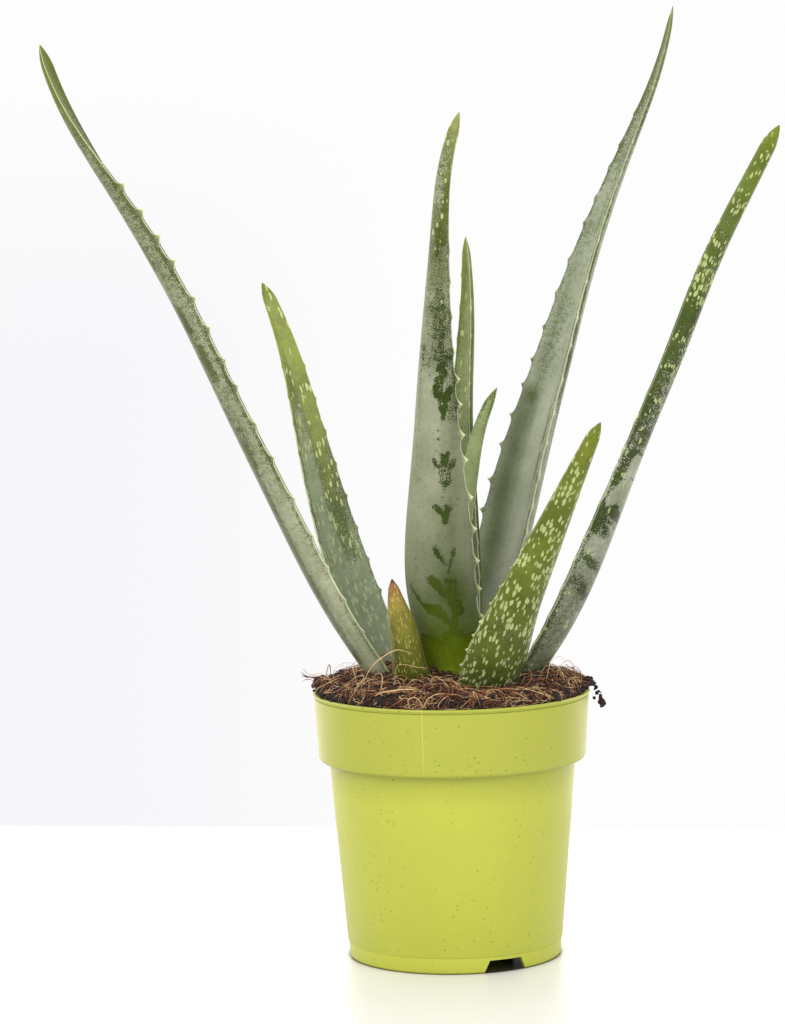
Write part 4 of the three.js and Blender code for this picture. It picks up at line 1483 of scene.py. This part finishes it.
def spotted_leaves() -> list[Leaf]:
    """The long leaf at the right and the short broad one before it, both heavily flecked."""
    long_skin = LeafSkin(
        "leaf_long_spotted", gloss=0.2, bloom=srgb(168, 172, 154), bloom_dark=srgb(132, 139, 114),
        fleck_across=1.3, fleck_along=3.2, banding=0.95,
        greens=strip((0.0, 76, 90, 44), (0.45, 62, 76, 30), (0.72, 74, 90, 28),
                     (0.9, 100, 118, 34), (1.0, 116, 132, 28)))
    broad_skin = LeafSkin(
        "leaf_spotted", gloss=0.2, bloom=srgb(128, 140, 108), bloom_dark=srgb(108, 122, 86),
        fleck=srgb(178, 187, 128), fleck_across=1.5, fleck_along=3.5, fleck_size=0.43,
        greens=strip((0.0, 62, 76, 34), (0.22, 74, 88, 32), (0.4, 94, 108, 30),
                     (0.8, 108, 120, 38), (1.0, 118, 128, 36)))
    long_edge = (36, 50, 64, 78, 92, 102, 118, 133, 144, 156, 169)
    broad_edge = (43, 51, 58, 65, 74, 82, 92, 101, 109)
    return [
        Leaf("long_right_leaf", "leaf_right_long", "leaf_spotted", long_skin,
             foot=(9.5, -1, 95), length=295, side=(49, 34, 24, 22, 23, 21, 27, 27), away=(-6, -6, -4),
             back=(338, 330, 326), width=(12, 21, 13.5, 11.5, 7.5), tip=0.035,
             teeth=(Teeth(Side.PLUS, long_edge, (2.0, 1.4), above=5.0),
                    Teeth(Side.MINUS, tuple(range(40, 190, 14)), (1.3, 0.8), above=5.0)),
             wear_and_light=(
                 # greener down the left, greyer down the right, under the flecked part
                 WearAndLightStroke((220, -6), (150, -6.5), 6, 0.22, soft=4),
                 WearAndLightStroke((240, 5), (150, 6), 5, -0.3, soft=4),
                 # dark down to the grey band, which has scratches on it
                 WearAndLightStroke((152, -2), (144, -5), 5, 0.3, soft=2),
                 WearAndLightStroke((144, -5.5), (129, -8), 3.2, 0.5, soft=1.4),
                 WearAndLightStroke((140, -1), (122, 1), 8, -0.5, soft=2),
                 WearAndLightStroke((127, -5), (121, -7.5), 4, -0.4, soft=1.6),
                 WearAndLightStroke((144, -1.5), (143.4, 1.5), 0.9, 1.3),
                 WearAndLightStroke((133, -1.2), (132, 2.2), 1, 1.2, soft=0.8),
                 # the scribbled dark zone
                 WearAndLightStroke((117.5, -10.5), (108, -10), 4, 0.62, soft=1.4),
                 WearAndLightStroke((117.5, -4), (108, 4.5), 6, 0.5, soft=1.4),
                 WearAndLightStroke((117.5, -7), (107, -5), 4, 0.45, soft=1.4),
                 WearAndLightStroke((114.5, -6), (112.5, -2), 0.7, -0.8, soft=0.5),
                 WearAndLightStroke((111.5, -6.5), (109.5, -1), 0.7, -0.8, soft=0.5),
                 WearAndLightStroke((112.6, -1), (109.6, 2.2), 0.7, -0.8, soft=0.5),
                 WearAndLightStroke((109, -2), (107.6, 3.2), 0.7, -0.8, soft=0.5),
                 # grey again, then finer scratches down to the foot
                 WearAndLightStroke((102, -6), (99, 5), 5, -0.5, soft=2), WearAndLightStroke((95, -10), (90, 3), 4, 0.42, soft=2),
                 WearAndLightStroke((94.5, -10), (93.6, -4), 0.7, 0.8), WearAndLightStroke((84, -10), (78, 0), 5, 0.32, soft=3),
                 WearAndLightStroke((88, 6), (40, 8), 3, -0.4, soft=3),
             ),
             facet=6.0, bloom=(0.5, 0.64, 0.72, 0.74, 0.5, 0.3, 0.08, 0.0),
             wax=(0.35, 0.45, 0.66, 0.95, 0.9, 0.72, 0.56, 0.5),
             flecked=(0.2, 0.16, 0.1, 0.22, 0.36, 0.66, 0.6, 0.06),
             line=(0.4, 0.25, 0.1), line_width=0.3),
        Leaf("spotted_leaf", "leaf_spotted_front", "leaf_spotted", broad_skin,
             foot=(4, -9, 94), length=165, side=(32, 17, 23, 23, 24), away=(-36, -22, -12),
             back=(296, 300, 304), width=(15, 29, 20.5, 12.5, 5), tip=0.045,
             teeth=(Teeth(Side.PLUS, broad_edge, (1.8, 0.9), above=3.6, below=1.8),
                    Teeth(Side.MINUS, tuple(range(40, 112, 10)), (1.2, 0.8), above=4.0)),
             wear_and_light=(WearAndLightStroke((70, -8.5), (64, -3), 6, -0.3, soft=4),
                   WearAndLightStroke((24, -14), (36, 12), 20, -0.08, soft=8)),
             facet=6.0, bloom=(0.5, 0.24, 0.08, 0.08, 0.1, 0.0), wax=(0.6, 0.46),
             flecked=(0.7, 0.66, 0.6, 0.64, 0.72, 0.74, 0.5), line=(0.5, 0.3, 0.1), line_width=0.3),
    ]


def drying_leaf() -> Leaf:
    """The small outer leaf in front, dried at its tip."""
    skin = LeafSkin(
        "leaf_drying", gloss=0.24, bloom=srgb(130, 140, 92), bloom_dark=srgb(112, 122, 72),
        fleck=srgb(172, 168, 88), fleck_across=0.55, fleck_along=2.6, fleck_size=0.4, banding=0.6,
        greens=strip((0.0, 44, 58, 16), (0.36, 52, 68, 18), (0.5, 92, 98, 28),
                     (0.7, 124, 122, 38), (0.85, 146, 132, 52), (0.92, 158, 120, 66),
                     (0.97, 158, 106, 70), (0.982, 96, 70, 52), (0.99, 44, 38, 34),
                     (1.0, 36, 32, 30)))
    return Leaf(
        "dry_tipped_leaf", "leaf_dry_tip", "leaf_drying", skin,
        foot=(-8, -9.5, 95), length=78, side=(-26, -18, -7, -12, -6), away=(-26, -16, -8),
        back=(250, 255, 260), width=(11, 21.5, 14.5, 11, 2.5),
        wear_and_light=(WearAndLightStroke((36, -7.5), (56, -4.5), 3, -0.6, film=-0.3, soft=5),),
        bloom=(0.1, 0.2, 0.0), wax=(0.2, 0.0), flecked=(0.04, 0.14, 0.34, 0.42, 0.25),
        line=(0.3, 0.1))


def all_leaves() -> list[Leaf]:
    """The nine leaves, from the heart outwards."""
    return [*young_leaves(), centre_leaf(), tall_leaf(), *left_leaves(), *spotted_leaves(),
            drying_leaf()]


# ----------------------------------------------------------------------- coir

@dataclass(frozen=True)
class Tangle:
    """How a lot of fibres lies. Length and thickness are each a middle and a spread."""

    count: int
    length: Span
    thickness: Span
    arch: float  # how high a fibre arches over the heap, on average
    tint: Span  # the darkest and the palest
    curl: float  # how much a fibre turns for its length, in radians a millimetre


@dataclass(frozen=True)
class Strand:
    """A loose fibre that stands clear of the heap, by the points that it passes."""

    thickness: float
    tint: float
    route: tuple[Point, ...]


TANGLES = (
    Tangle(2100, (6.0, 0.4), (0.2, 0.3), 0.45, (0.0, 0.5), 0.16),
    Tangle(1700, (8.5, 0.4), (0.19, 0.35), 0.6, (0.1, 0.66), 0.14),
    Tangle(900, (12, 0.4), (0.2, 0.3), 0.8, (0.3, 0.86), 0.12),
    Tangle(230, (18, 0.35), (0.22, 0.25), 1.7, (0.66, 1.0), 0.1),
)

# How many crumbs, their size as a middle and a spread, and their darkest and palest tint.
CRUMBS = (
    (1500, (0.35, 0.35), (0.05, 0.45)),
    (1200, (0.55, 0.35), (0.0, 0.35)),
    (420, (0.85, 0.3), (0.0, 0.25)),
    (60, (1.3, 0.25), (0.0, 0.2)),
)

# Down the clump on the rim: the middle of each lot of crumbs, how many, and their size.
CLUMP = (
    ((59.4, -2, 117.9), 12, 0.62), ((61.6, -2, 116.9), 8, 0.55), ((62.4, -2, 114.8), 6, 0.45),
    ((63.2, -2, 112.7), 4, 0.4), ((64, -2, 110.8), 5, 0.45), ((65, -2, 108.6), 26, 0.56),
)

# The node, and each fibre that stands clear of the heap there.
LOOSE_STRANDS = {
    "coir_tuft_left": (
        Strand(0.6, 0.4, ((-53, 0, 119.9), (-58.6, -0.5, 121.2), (-62.7, -0.5, 122.2),
                          (-65.2, 0, 124.2))),
        Strand(0.3, 0.9, ((-52, -3, 120.2), (-57, -2, 122.2), (-61.5, -1.5, 123.2),
                          (-64.0, -1, 125.6))),
        Strand(0.3, 0.6, ((-55, 1, 119.4), (-59.5, 0, 120.2), (-62.5, 0.5, 120.6),
                          (-64.6, 1, 119.4))),
        Strand(0.25, 0.95, ((-51, -4, 120.4), (-56, -3, 123.4), (-60.6, -2, 122.6),
                            (-62.4, -2, 120.2))),
        Strand(0.4, 0.3, ((-54, 2, 119.8), (-58, 1, 121.4), (-62, 1, 121.4), (-65.0, 1, 122.2))),
    ),
    "coir_strand_arched": (
        Strand(0.42, 0.96, ((-39.0, -30.5, 120.6), (-34.4, -31, 129.4), (-28.7, -31.5, 134.5),
                            (-22.8, -31, 137), (-16.5, -30, 135))),
        Strand(0.26, 0.9, ((-25, -31, 120.6), (-23.5, -31, 129.6), (-20, -31, 130.6),
                           (-14.5, -31, 129.4), (-10, -31, 129.2))),
    ),
    "coir_strand_rim": (
        Strand(0.42, 0.85, ((1.6, -47.5, 119.6), (-6, -53.5, 121.2), (-10.5, -57, 119.6),
                            (-13, -58.6, 115.8))),
    ),
    "coir_strand_front": (
        Strand(0.6, 0.92, ((-33, -47.5, 119.7), (-29.5, -47, 121.3), (-19.8, -47, 122.4),
                           (-15, -49.5, 122.2))),
        Strand(0.35, 0.7, ((-36, -45, 119.9), (-31, -46, 120.9), (-24, -48, 121.4),
                           (-20, -46.5, 121.6))),
    ),
    "coir_loop_right": (
        Strand(0.32, 0.8, ((44.0, -20, 120.4), (46.3, -20, 127.0), (49.8, -18, 129.4),
                           (52.6, -16, 125.6), (52.4, -18, 118.6))),
        Strand(0.26, 0.9, ((37, -20, 121.4), (39.5, -20, 126.6), (43.5, -19, 128.0),
                           (47, -19, 124.8), (48.5, -20, 119.6))),
        Strand(0.26, 0.7, ((48, -12, 119.8), (50, -12, 124.0), (53, -11, 125.8),
                           (55.5, -11, 123.4), (55.8, -12, 118.0))),
        Strand(0.24, 0.95, ((40, -24, 120.4), (41, -24, 125.8), (43, -22, 130.4),
                            (46.5, -20, 131.4), (48.8, -19, 128.4))),
    ),
}


@dataclass
class Coir:
    """The loose coir that fills the pot's mouth: a lumpy heap with crumbs and fibres on it."""

    top: float = 126.7
    drop: float = 7.8  # from the top to the edge
    curve: float = 2.1
    radius: float = 57.6
    dip: float = 4.2  # how much lower it lies against the lip at front and back
    dip_from: float = 44.0  # how far out the dip starts
    dip_front: float = 0.45  # how much less the front dips
    hollow: float = 2.2  # how much lower the whole front lies
    hollow_reach: float = 24.0
    fall: float = 1.4  # how much lower the whole back lies
    fall_reach: float = 30.0
    scoop: float = 3.2  # how deep it is scooped out before the spotted leaf
    scoop_at: Span = (14.0, -28.0)
    scoop_reach: float = 15.0
    spill: float = 3.6  # how far bits lie out over the lip at both sides
    pot_top: float = 115.0
    under: float = 111.5
    rings: int = 56
    segments: int = 200
    pale: float = 0.6  # painted light: how much paler the fibres get towards the left, where the light comes from
    left_light_from: float = 14.0
    left_light_reach: float = 28.0
    lip_shadow: float = 0.3  # painted shade: how much darker they are by the lip in front
    lip_shadow_at: Span = (49.0, 53.0)
    lip_shadow_left: Span = (-34.0, -22.0)  # where that starts, and is full, across
    seed: int = 7

    SIDES = 6  # how narrow the two sides are, where the heap meets the lip higher up
    LUMPS = (("lumps", 7.0, 2.6), ("crumble", 2.0, 1.8))  # name, size and depth
    ROUND, ROUGH = 0.8, 0.22  # of one crumb
    SQUASH = (0.6, 1.25)  # of one crumb along each axis
    SUNK = (-0.8, 0.5)  # how deep or high crumbs lie
    INSET = 0.5  # how far inside the edge a fibre's middle lies
    OUTWARDS = 0.4  # below 0.5, more fibres lie towards the edge
    LENGTHS = (3, 60)  # the shortest and the longest fibre
    WAVE, WAVES = 0.5, (3, 11)  # how far a fibre wavers, and how often
    TILT = 0.05
    LIFT = 0.2
    DUCK = 0.9  # how far its ends dip into the heap
    LAID = (-0.4, 0.8)  # how deep or high fibres lie
    BUNCHED = 0.05  # a fibre with a shorter step is bunched up, and left out
    TAPER = 0.75  # how much thinner a fibre's ends are

    def __post_init__(self) -> None:
        """Starts the one stream of chance that the coir is scattered by."""
        self.chance = np.random.default_rng(self.seed)

    def at_sides(self, turn: np.ndarray) -> np.ndarray:
        """1 at the far left and right, falling off quickly towards front and back."""
        return np.abs(np.cos(turn)) ** self.SIDES

    def level(self, radius: np.ndarray, turn: np.ndarray) -> np.ndarray:
        """Finds the heap's height.

        Args:
            radius: The distance from the pot's axis.
            turn: The angle round it.

        Returns:
            The height there.
        """
        front, behind = np.clip(-np.sin(turn), 0, 1), np.clip(np.sin(turn), 0, 1)
        edge = np.clip((radius - self.dip_from) / (self.radius - self.dip_from), 0, 1.05) ** 2.0
        dip = self.dip * edge * (1 - self.at_sides(turn)) * (1 - self.dip_front * front)
        hollow = self.hollow * front * np.clip(radius / self.hollow_reach, 0, 1) ** 1.5
        fall = self.fall * behind * np.clip(radius / self.fall_reach, 0, 1)
        x, y = radius * np.cos(turn), radius * np.sin(turn)
        from_scoop = np.hypot(x - self.scoop_at[0], y - self.scoop_at[1])
        scoop = self.scoop * np.exp(-((from_scoop / self.scoop_reach) ** 2))
        mound = self.top - self.drop * (radius / self.radius) ** self.curve
        return mound - dip - hollow - fall - scoop

    def overhang(self, turn: np.ndarray) -> np.ndarray:
        """How far past the heap's edge bits may lie: over the lip at both sides only."""
        return self.spill * self.at_sides(turn)

    def heap(self, effects: Effects) -> None:
        """The lumpy body of the heap."""
        edge = [(self.radius, self.under), (self.radius, self.pot_top - 1.0),
                (self.radius * 0.996, self.pot_top + 0.4)]
        crown = [(self.radius * share, self.top) for share in np.linspace(0.985, 0.01, self.rings)]
        heap = raised(edge + crown, self.segments)
        places = coordinates(heap.data)
        out = np.hypot(places[:, 0], places[:, 1]) / MM
        turn = np.arctan2(places[:, 1], places[:, 0])
        upper = places[:, 2] > (self.top - 0.1) * MM
        places[upper, 2] = self.level(out, turn)[upper] * MM
        move_vertices(heap.data, places)
        for label, size, depth in self.LUMPS:
            texture = bpy.data.textures.new(label, "CLOUDS")
            texture.noise_scale = size * MM
            modify(heap, "DISPLACE", texture=texture, texture_coords="OBJECT", direction="Z",
                   strength=depth * MM, mid_level=0.7)
        # tinted very dark: partly the coir's own colour, partly painted shade in the gaps between the
        # fibres
        finish = Earthy("coir_heap", COIR_SHADES, relief=0.0012, tint=0.1)
        settle(heap, "coir_heap", finish.make(effects), ("coir_mat",), smooth=60.0)

    def crumb(self) -> tuple[np.ndarray, np.ndarray]:
        """One rough crumb, as its vertices and its faces of four."""
        bpy.ops.mesh.primitive_cube_add(size=2.0)
        crumb = added()
        with editing(crumb):
            bpy.ops.mesh.subdivide(number_cuts=1)
            bpy.ops.transform.tosphere(value=self.ROUND)
            draw = int(self.chance.integers(1, 1000))
            bpy.ops.transform.vertex_random(offset=self.ROUGH, seed=draw)
        places = coordinates(crumb.data)
        faces = np.array([list(face.vertices) for face in crumb.data.polygons])
        remove(crumb)
        return places, faces

    def scatter(
        self, count: int, size: Span, tint: Span, spot: Point | None = None, spread: float = 0.0
    ) -> tuple[np.ndarray, ...]:
        """Copies of one crumb, turned and sized by chance.

        Args:
            count: How many.
            size: The middle radius, and how widely it varies, as a share.
            tint: The darkest and palest tint.
            spot: The middle of a cluster, or None for all over the heap.
            spread: How far the cluster reaches.

        Returns:
            The vertices, faces and tint of each vertex.
        """
        chance = self.chance
        master, faces = self.crumb()
        if spot is None:
            turn = chance.uniform(0, 2 * math.pi, count)
            out = (self.radius - 0.6 + self.overhang(turn)) * np.sqrt(chance.uniform(0, 1, count))
            height = self.level(out, turn) + chance.uniform(*self.SUNK, count)
            places = np.stack([out * np.cos(turn), out * np.sin(turn), height], -1)
        else:
            places = np.array(spot) + chance.normal(0, 1, (count, 3)) * spread
        radius = size[0] * np.exp(chance.normal(0, size[1], count))
        axes = np.linalg.qr(chance.normal(0, 1, (count, 3, 3)))[0]
        shape = master[None] * chance.uniform(*self.SQUASH, (count, 1, 3))
        grown = np.einsum("nij,nvj->nvi", axes, shape) * radius[:, None, None]
        vertices = (grown + places[:, None]).reshape(-1, 3)
        copies = (faces[None] + len(master) * np.arange(count)[:, None, None]).reshape(-1, 4)
        tints = np.repeat(chance.uniform(*tint, count), len(master))
        return vertices, copies, tints

    def lump(
        self, name: str, lots: list[tuple[np.ndarray, ...]], effects: Effects,
        nodes: tuple[str, ...] = (),
    ) -> None:
        """Makes one piece out of several lots of crumbs.

        Args:
            name: The piece's name.
            lots: The vertices, faces and tints of each lot.
            effects: The shared shader groups.
            nodes: The nodes that the piece stands for.
        """
        vertices, faces, tints, start = [], [], [], 0
        for places, copies, tint in lots:
            vertices.append(places)
            faces.append(copies + start)
            tints.append(tint)
            start += len(places)
        mesh = bpy.data.meshes.new(name)
        mesh.from_pydata((np.concatenate(vertices) * MM).tolist(), [], np.concatenate(faces).tolist())
        piece = bpy.data.objects.new(name, mesh)
        bpy.context.collection.objects.link(piece)
        paint(mesh, "tint", np.concatenate(tints))
        with editing(piece):
            bpy.ops.mesh.normals_make_consistent(inside=False)
        finish = Earthy(f"{name}_finish", COIR_SHADES, relief=0.0006)
        settle(piece, name, finish.make(effects), nodes, smooth=80.0)

    def routes(self, tangle: Tangle, points: int) -> np.ndarray:
        """The lines that a lot of fibres follows, laid over the heap by chance.

        Args:
            tangle: How the fibres lie.
            points: How many points a line has.

        Returns:
            One row of points for each fibre.
        """
        chance, count = self.chance, tangle.count
        inside = self.radius - self.INSET
        turn = chance.uniform(0, 2 * math.pi, count)
        out = inside * chance.uniform(0.0, 1.0, count) ** self.OUTWARDS
        length = tangle.length[0] * np.exp(chance.normal(0, tangle.length[1], count))
        length = np.clip(length, *self.LENGTHS)
        share = np.linspace(-0.5, 0.5, points)[None]
        far = share * length[:, None]
        bend = chance.normal(0, tangle.curl, (count, 1))
        waves = chance.normal(0, self.WAVE, (count, 1)) * np.sin(
            share * chance.uniform(*self.WAVES, (count, 1)) + chance.uniform(0, 6.3, (count, 1)))
        heading = chance.uniform(0, 2 * math.pi, (count, 1)) + bend * far + waves
        step = length[:, None] / (points - 1)
        x = np.cumsum(np.cos(heading) * step, 1)
        y = np.cumsum(np.sin(heading) * step, 1)
        x += out[:, None] * np.cos(turn)[:, None] - x[:, [points // 2]]
        y += out[:, None] * np.sin(turn)[:, None] - y[:, [points // 2]]
        radius = np.hypot(x, y)
        angle = np.arctan2(y, x)
        limit = inside + self.overhang(angle)
        radius = radius * np.minimum(1, limit / np.maximum(radius, 1e-6))
        arch = chance.exponential(tangle.arch, (count, 1)) * (1 - (2 * share) ** 2)
        tilt = chance.normal(0, self.TILT, (count, 1)) * far
        height = self.level(radius, angle) + self.LIFT + arch + tilt - self.DUCK * (2 * share) ** 4
        height += chance.uniform(*self.LAID, (count, 1))
        height = np.maximum(height, self.pot_top + 0.1)
        lines = np.stack([radius * np.cos(angle), radius * np.sin(angle), height], -1)
        steps = np.linalg.norm(np.diff(lines, axis=1), axis=2)
        return lines[steps.min(1) > self.BUNCHED]

    def tints(self, lines: np.ndarray, tangle: Tangle) -> np.ndarray:
        """Tints the fibres, with painted light that makes them paler to the left and painted shade
        that makes them darker by the lip in front.

        Args:
            lines: A row of points for each fibre.
            tangle: How the fibres lie.

        Returns:
            Each fibre's tint.
        """
        x, y = lines[:, 4, 0], lines[:, 4, 1]
        shadow_by_lip = self.reached(np.hypot(x, y), self.lip_shadow_at) * np.clip(-y / 20.0, 0, 1)
        tints = self.chance.uniform(*tangle.tint, len(lines))
        # painted light: paler to the left
        tints += self.pale * np.clip((-x - self.left_light_from) / self.left_light_reach, -0.08, 1.0)
        # painted shade by the lip in front
        tints -= self.lip_shadow * shadow_by_lip * self.reached(x, self.lip_shadow_left)
        return tints

    def reached(self, values: np.ndarray, over: Span) -> np.ndarray:
        """How far each value has got over a stretch, from 0 to 1."""
        return np.clip((values - over[0]) / (over[1] - over[0]), 0, 1)

    def spin_fibres(
        self, name: str, lines: np.ndarray, thickness: np.ndarray, tints: np.ndarray,
        material: Material, nodes: tuple[str, ...] = (), sides: int = 0,
    ) -> None:
        """Makes fibres as one curve with round flesh, then as a mesh.

        Args:
            name: The piece's name.
            lines: A row of points for each fibre, in millimetres.
            thickness: Each fibre's thickness at its middle.
            tints: Each fibre's tint.
            material: The finish.
            nodes: The nodes that the piece stands for.
            sides: How round a fibre is, 0 being four-sided.
        """
        curve = bpy.data.curves.new(name, "CURVE")
        curve.dimensions = "3D"
        curve.bevel_depth = 1.0
        curve.bevel_resolution = sides
        curve.use_fill_caps = True
        points = lines.shape[1]
        taper = 1 - self.TAPER * np.abs(np.linspace(-1, 1, points)) ** 3
        for line, wide in zip(lines, thickness):
            spline = curve.splines.new("POLY")
            spline.points.add(points - 1)
            spline.points.foreach_set("co", np.c_[line * MM, np.ones(points)].ravel())
            spline.points.foreach_set("radius", taper * wide * MM / 2)
        piece = bpy.data.objects.new(name, curve)
        bpy.context.collection.objects.link(piece)
        pick(piece)
        bpy.ops.object.convert(target="MESH")
        piece = added()
        paint(piece.data, "tint", np.repeat(tints, len(piece.data.vertices) // len(lines)))
        settle(piece, name, material, nodes, smooth=80.0)

    def build(self, effects: Effects) -> None:
        """Makes the heap, its crumbs, its fibres, the loose strands and the clump on the rim."""
        self.heap(effects)
        self.lump("coir_crumbs", [self.scatter(*lot) for lot in CRUMBS], effects)
        finish = Earthy("coir_fibre", COIR_SHADES, grain=1500.0, relief=0.0001, rough=0.7)
        material = finish.make(effects)
        for index, tangle in enumerate(TANGLES):
            lines = self.routes(tangle, 9 + 2 * index)
            middle, spread = tangle.thickness
            thickness = middle * np.exp(self.chance.normal(0, spread, len(lines)))
            tints = self.tints(lines, tangle)
            self.spin_fibres(f"coir_tangle_{index + 1}", lines, thickness, tints, material)
        for node, strands in LOOSE_STRANDS.items():
            lines = np.stack([smooth_route(strand.route, 40) for strand in strands])
            thickness = np.array([strand.thickness for strand in strands])
            tints = np.array([strand.tint for strand in strands])
            self.spin_fibres(f"{node}_fibre", lines, thickness, tints, material, (node,),
                             sides=1)
        clump = [self.scatter(count, (size, 0.35), (0.0, 0.3), spot, spread=0.6)
                 for spot, count, size in CLUMP]
        self.lump("rim_clump", clump, effects, ("coir_clump_right",))


@dataclass
class Buried:
    """What the pot hides: the mix, the stem and the roots, which keep their model shapes."""

    def build(self, effects: Effects) -> None:
        """Dresses the buried nodes."""
        peat = Earthy("potting_mix", COIR_SHADES, grain=700.0, relief=0.002, tint=0.18)
        bark = Earthy("stem_bark", strip((0.2, 112, 96, 56), (0.8, 176, 164, 104)), tint=0.5)
        rind = Earthy("root_rind", strip((0.2, 140, 104, 66), (0.8, 206, 170, 116)), tint=0.5)
        finishes = {"potting_mix": peat, "stem": bark, "root": rind}
        finishes = {name: finish.make(effects) for name, finish in finishes.items()}
        for name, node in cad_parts.items():
            kind = "root" if name.startswith("root_") else name
            if kind in finishes:
                self.dress(node, finishes[kind])

    def dress(self, node: Piece, material: Material) -> None:
        """Gives a model node its finish."""
        node.data.materials.clear()
        node.data.materials.append(material)
        log.info("%s: dressed", node.name)


# ----------------------------------------------------------------------- main

def main() -> None:
    """Builds the studio, the pot, the leaves and the coir, and dresses the buried nodes."""
    logging.basicConfig(level=logging.INFO, format="%(name)s: %(message)s", force=True)
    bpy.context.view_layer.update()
    effects = Effects()
    Studio().build()
    Pot().build(effects)
    for leaf in all_leaves():
        leaf.build(effects)
    Coir().build(effects)
    Buried().build(effects)


if __name__ == "__main__":
    main()
